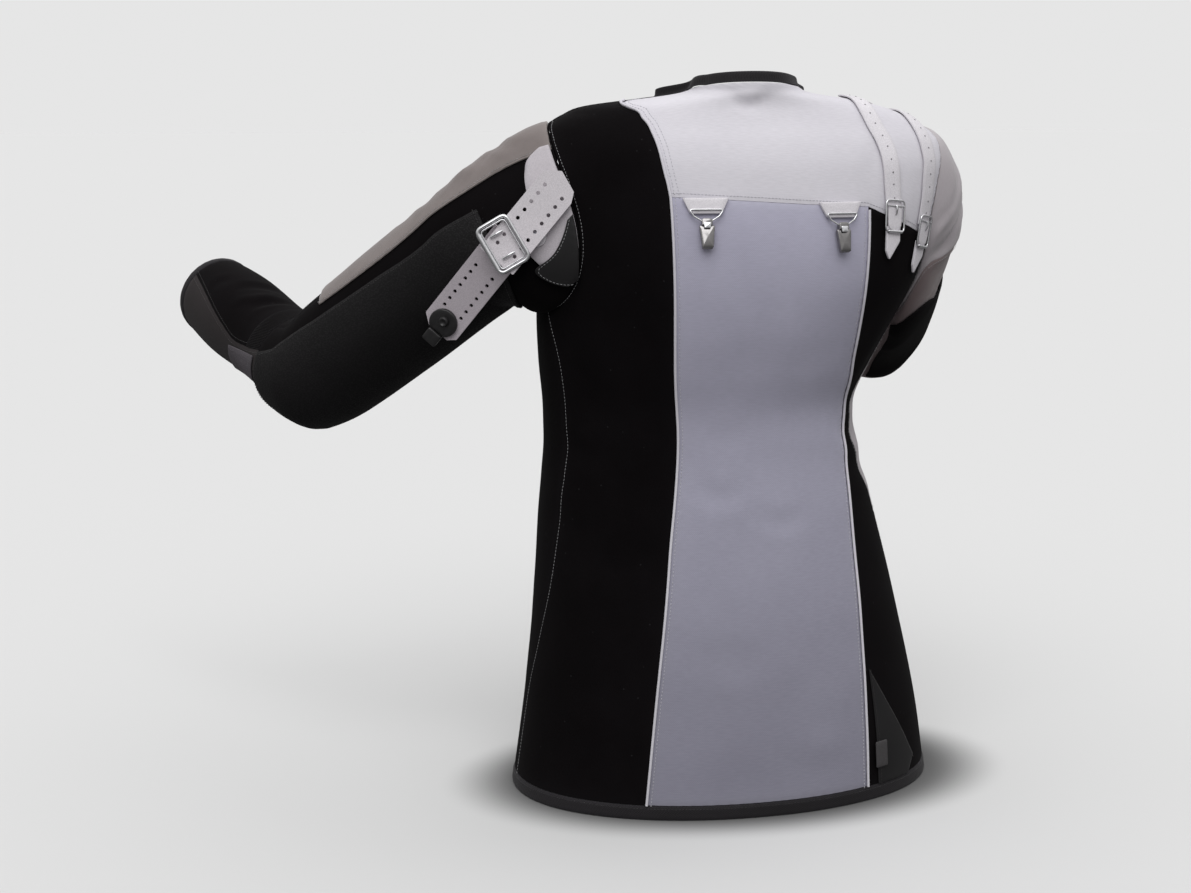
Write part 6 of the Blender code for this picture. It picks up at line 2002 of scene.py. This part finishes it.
    def buckle(self, upper: Seat) -> None:
        """The double-prong buckle on the upper strap."""
        lift = self.thick + SEAM + self.buckle_wire
        point, view = np.array(self.buckle_point), np.array(self.outwards)
        point = point + view * (lift - (point - upper.point) @ upper.out) / (view @ upper.out)
        along = unit(np.array(self.buckle_along))
        along = unit(along - upper.out * (along @ upper.out))
        seat = Seat(point, np.cross(along, upper.out), along)
        wide, high = self.buckle_size
        ring = [(x, y, 0.0) for x, y in buckle_ring(wide, high, 0.0062, 7)]
        inner = [(x, y, 0.0011) for x, y in buckle_ring(wide - 0.0062, high - 0.0062, 0.0040, 6)]
        roller = [(-0.0190, -high / 2 + 0.0002, 0.0004), (0.0190, -high / 2 + 0.0002, 0.0004)]
        parts = [tube_mesh("part", seat(ring), self.buckle_wire, 14, closed=True, hint=seat.out),
                 tube_mesh("part", seat(inner), 0.0008, 10, closed=True, hint=seat.out),
                 tube_mesh("part", seat(roller), 0.0024, 16, hint=seat.out)]
        self.wardrobe.piece("sling_buckle", merged("sling_buckle", parts), CHROME)
        for k, x in enumerate((-0.0115, 0.0115)):
            rows = ((-0.0070, 0.0), (-0.0020, 0.0012), (0.0030, 0.0010), (0.0060, 0.0))
            points = [(x, y, 0.0012 - self.buckle_wire + rise) for y, rise in rows]
            name = f"sling_prong_{k + 1}"
            mesh = tube_mesh(name, seat(points), (0.0012, 0.0013, 0.0012, 0.0008), 10, hint=seat.across)
            self.wardrobe.piece(name, mesh, CHROME)

    def hook(self, seat: Seat) -> None:
        """The black plastic hook at the lower strap's end."""
        low = self.thick + SEAM
        base = [(x, y + 0.0125) for x, y in arc(0, 0, 0.0142, -50, 230, 36)]
        mesh = plate_mesh("hook_base", base, seat, low, self.thick + 0.0040, 0.0009, 0.0003)
        self.wardrobe.piece("hook_base", mesh, BLACK_PLASTIC)
        tongue = rounded(mirrored((0.0078, -0.0125), (0.0078, 0.0010)), 0.0016, 4)
        mesh = plate_mesh("hook_tongue", tongue, seat, low, self.thick + 0.0062, 0.0012, 0.0003)
        self.wardrobe.piece("hook_tongue", mesh, BLACK_PLASTIC)
        knob = Seat(seat(np.array([0.0, 0.0155, 0.0])), seat.across, seat.up)
        start = self.thick + 0.0043
        profile = [(0.0006, start), (0.0050, start), (0.0052, start + 0.0012), (0.0048, start + 0.0030),
                   (0.0040, start + 0.0040), (0.0032, start + 0.0041), (0.0024, start + 0.0034),
                   (0.0012, start + 0.0026), (0.0001, start + 0.0024)]
        self.wardrobe.piece("hook_knob", lathe_mesh("hook_knob", profile, knob), BLACK_PLASTIC)

    def build(self) -> None:
        """Builds the sling fittings."""
        self.anchor()
        self.rivet()
        self.punch = PerforatedTree(self.wardrobe.material(STRAP_LEATHER))
        half, cut = self.half, 0.007
        seat, long = self.strap_seat(self.lower_ends)
        outline = rounded([(-half + 0.010, 0), (half - cut, 0), (half, cut), (half, long), (-half, long),
                           (-half, 0.008)], 0.0012, 3)
        self.strap("lower_sling_strap", LOWER_SLING, seat, outline, 0.0275, 0.0088, 7)
        self.hook(seat)
        seat, long = self.strap_seat(self.upper_ends)
        outline = rounded([(-half, 0), (half, 0), (half, long - 0.018), (half - 0.005, long - 0.008),
                           (-half + 0.014, long), (-half, long - 0.010)], 0.0012, 3)
        pitch, count = 0.0100, 8
        first = long - 0.0200 - pitch * (count - 1)
        self.strap("upper_sling_strap", SLING_LEATHER, seat, outline, first, pitch, count)
        self.buckle(seat)


@dataclass
class Studio:
    """The floor, the light and the camera."""

    floor_down: float = HEM_DOWN + 0.0006
    floor_size: float = 40.0
    eye: tuple[float, float, float] = (0.60514, 1.91261, -0.03)
    ahead: tuple[float, float, float] = (-0.230138, -0.957910, -0.171593)
    upwards: tuple[float, float, float] = (-0.040085, -0.166845, 0.985168)
    lens: float = 60.45
    backdrop: float = 0.79
    pale: float = 0.672
    shade: float = 0.02

    def camera(self) -> None:
        """The camera at the photograph's viewing angle."""
        data = bpy.data.cameras.new("camera")
        data.lens, data.sensor_width, data.sensor_fit = self.lens, 36.0, "HORIZONTAL"
        data.clip_end = 200.0
        made = bpy.data.objects.new("camera", data)
        ahead, up = Vector(self.ahead).normalized(), Vector(self.upwards).normalized()
        right = ahead.cross(up)
        made.matrix_world = Matrix.Translation(self.eye) @ Matrix((right, up, -ahead)).transposed().to_4x4()
        bpy.context.scene.collection.objects.link(made)
        bpy.context.scene.camera = made

    def floor(self) -> None:
        """A plain pale floor, with a painted shadow close to the hem."""
        size = self.floor_size
        mesh = bpy.data.meshes.new("floor")
        corners = ((-size, -size), (size, -size), (size, size), (-size, size))
        mesh.from_pydata([(x, y, -self.floor_down) for x, y in corners], [], [(0, 1, 2, 3)])
        made = bpy.data.objects.new("floor", mesh)
        bpy.context.scene.collection.objects.link(made)
        material = bpy.data.materials.new("pale floor")
        material.use_nodes = True
        g = Graph(material.node_tree)
        place = g.add("ShaderNodeTexCoord").outputs["Object"]
        centred = g.add("ShaderNodeMapping", {"Vector": place, "Location": (-0.013, 0.0, 0.0),
                                              "Scale": (1 / 0.218, 1 / 0.144, 0.0)}).outputs[0]
        reach = g.add("ShaderNodeVectorMath", {0: centred}, operation="LENGTH").outputs[1]
        # Painted shadow: the floor's colour darkens into a soft ellipse round the hem.
        tone = g.mix(g.steps(reach, 0.98, 1.40, 0.80, 0.0), (self.pale,) * 3, (self.shade,) * 3)
        g.feed(material.node_tree.nodes["Principled BSDF"], {"Base Color": tone, "Roughness": 1.0,
                                                             "Specular IOR Level": 0.0})
        mesh.materials.append(material)
        made.visible_diffuse = False
        made.visible_glossy = False

    def lights(self) -> None:
        """Soft light from all above, and a broad key from the camera's upper left."""
        world = bpy.data.worlds.new("studio")
        bpy.context.scene.world = world
        world.use_nodes = True
        g = Graph(world.node_tree)
        world.node_tree.nodes.clear()
        height = g.parts(g.add("ShaderNodeTexCoord").outputs["Generated"])[2]
        lever_highlight = g.steps(height, -0.25, 0.9, 0.16, 0.95)
        soft = g.add("ShaderNodeBackground", {0: (1, 1, 1, 1), 1: lever_highlight}).outputs[0]
        plain = g.add("ShaderNodeBackground", {0: (1, 1, 1, 1), 1: self.backdrop}).outputs[0]
        seen = g.add("ShaderNodeLightPath").outputs["Is Camera Ray"]
        both = g.add("ShaderNodeMixShader", {0: seen, 1: soft, 2: plain}).outputs[0]
        g.add("ShaderNodeOutputWorld", {0: both})
        for name, strength, angle, tilt in (("key", 1.15, 50, (math.radians(-38), math.radians(16), 0)),
                                            ("fill", 0.35, 60, (math.radians(30), math.radians(-28), 0))):
            data = bpy.data.lights.new(name, "SUN")
            data.energy, data.angle = strength, math.radians(angle)
            lamp = bpy.data.objects.new(name, data)
            lamp.rotation_euler = tilt
            bpy.context.scene.collection.objects.link(lamp)
        bpy.context.scene.view_settings.view_transform = "Standard"

    def build(self) -> None:
        """Builds the studio."""
        self.camera()
        self.floor()
        self.lights()


def main() -> None:
    """Builds the studio and every piece of the jacket."""
    logging.basicConfig(level=logging.INFO, format="%(name)s %(message)s")
    Studio().build()
    wardrobe = Wardrobe()
    sewing = Sewing(wardrobe)
    body = Cloth(BODY_SURFACE, BODY_CREASES, 0.00022, 3)
    left = Cloth(ArmSurface(Side.LEFT), LEFT_CREASES, 0.00022, 5)
    right = Cloth(ArmSurface(Side.RIGHT), RIGHT_CREASES, 0.00022, 7)
    Torso(wardrobe, sewing, body).build()
    Trim(wardrobe, sewing, body).build()
    LeftSleeve(wardrobe, sewing, left).build()
    RightSleeve(wardrobe, sewing, right).build()
    BackClips(wardrobe, body).build()
    ShoulderStraps(wardrobe, body).build()
    SlingFittings(wardrobe, sewing, left).build()
    sewing.lay("stitches_pale", PALE_THREAD, {"Stitch Length": 0.0023, "Thickness": 0.00078})
    sewing.lay("stitches_grey", GREY_THREAD)
    sewing.lay("stitches_black", BLACK_THREAD)


if __name__ == "__main__":
    main()
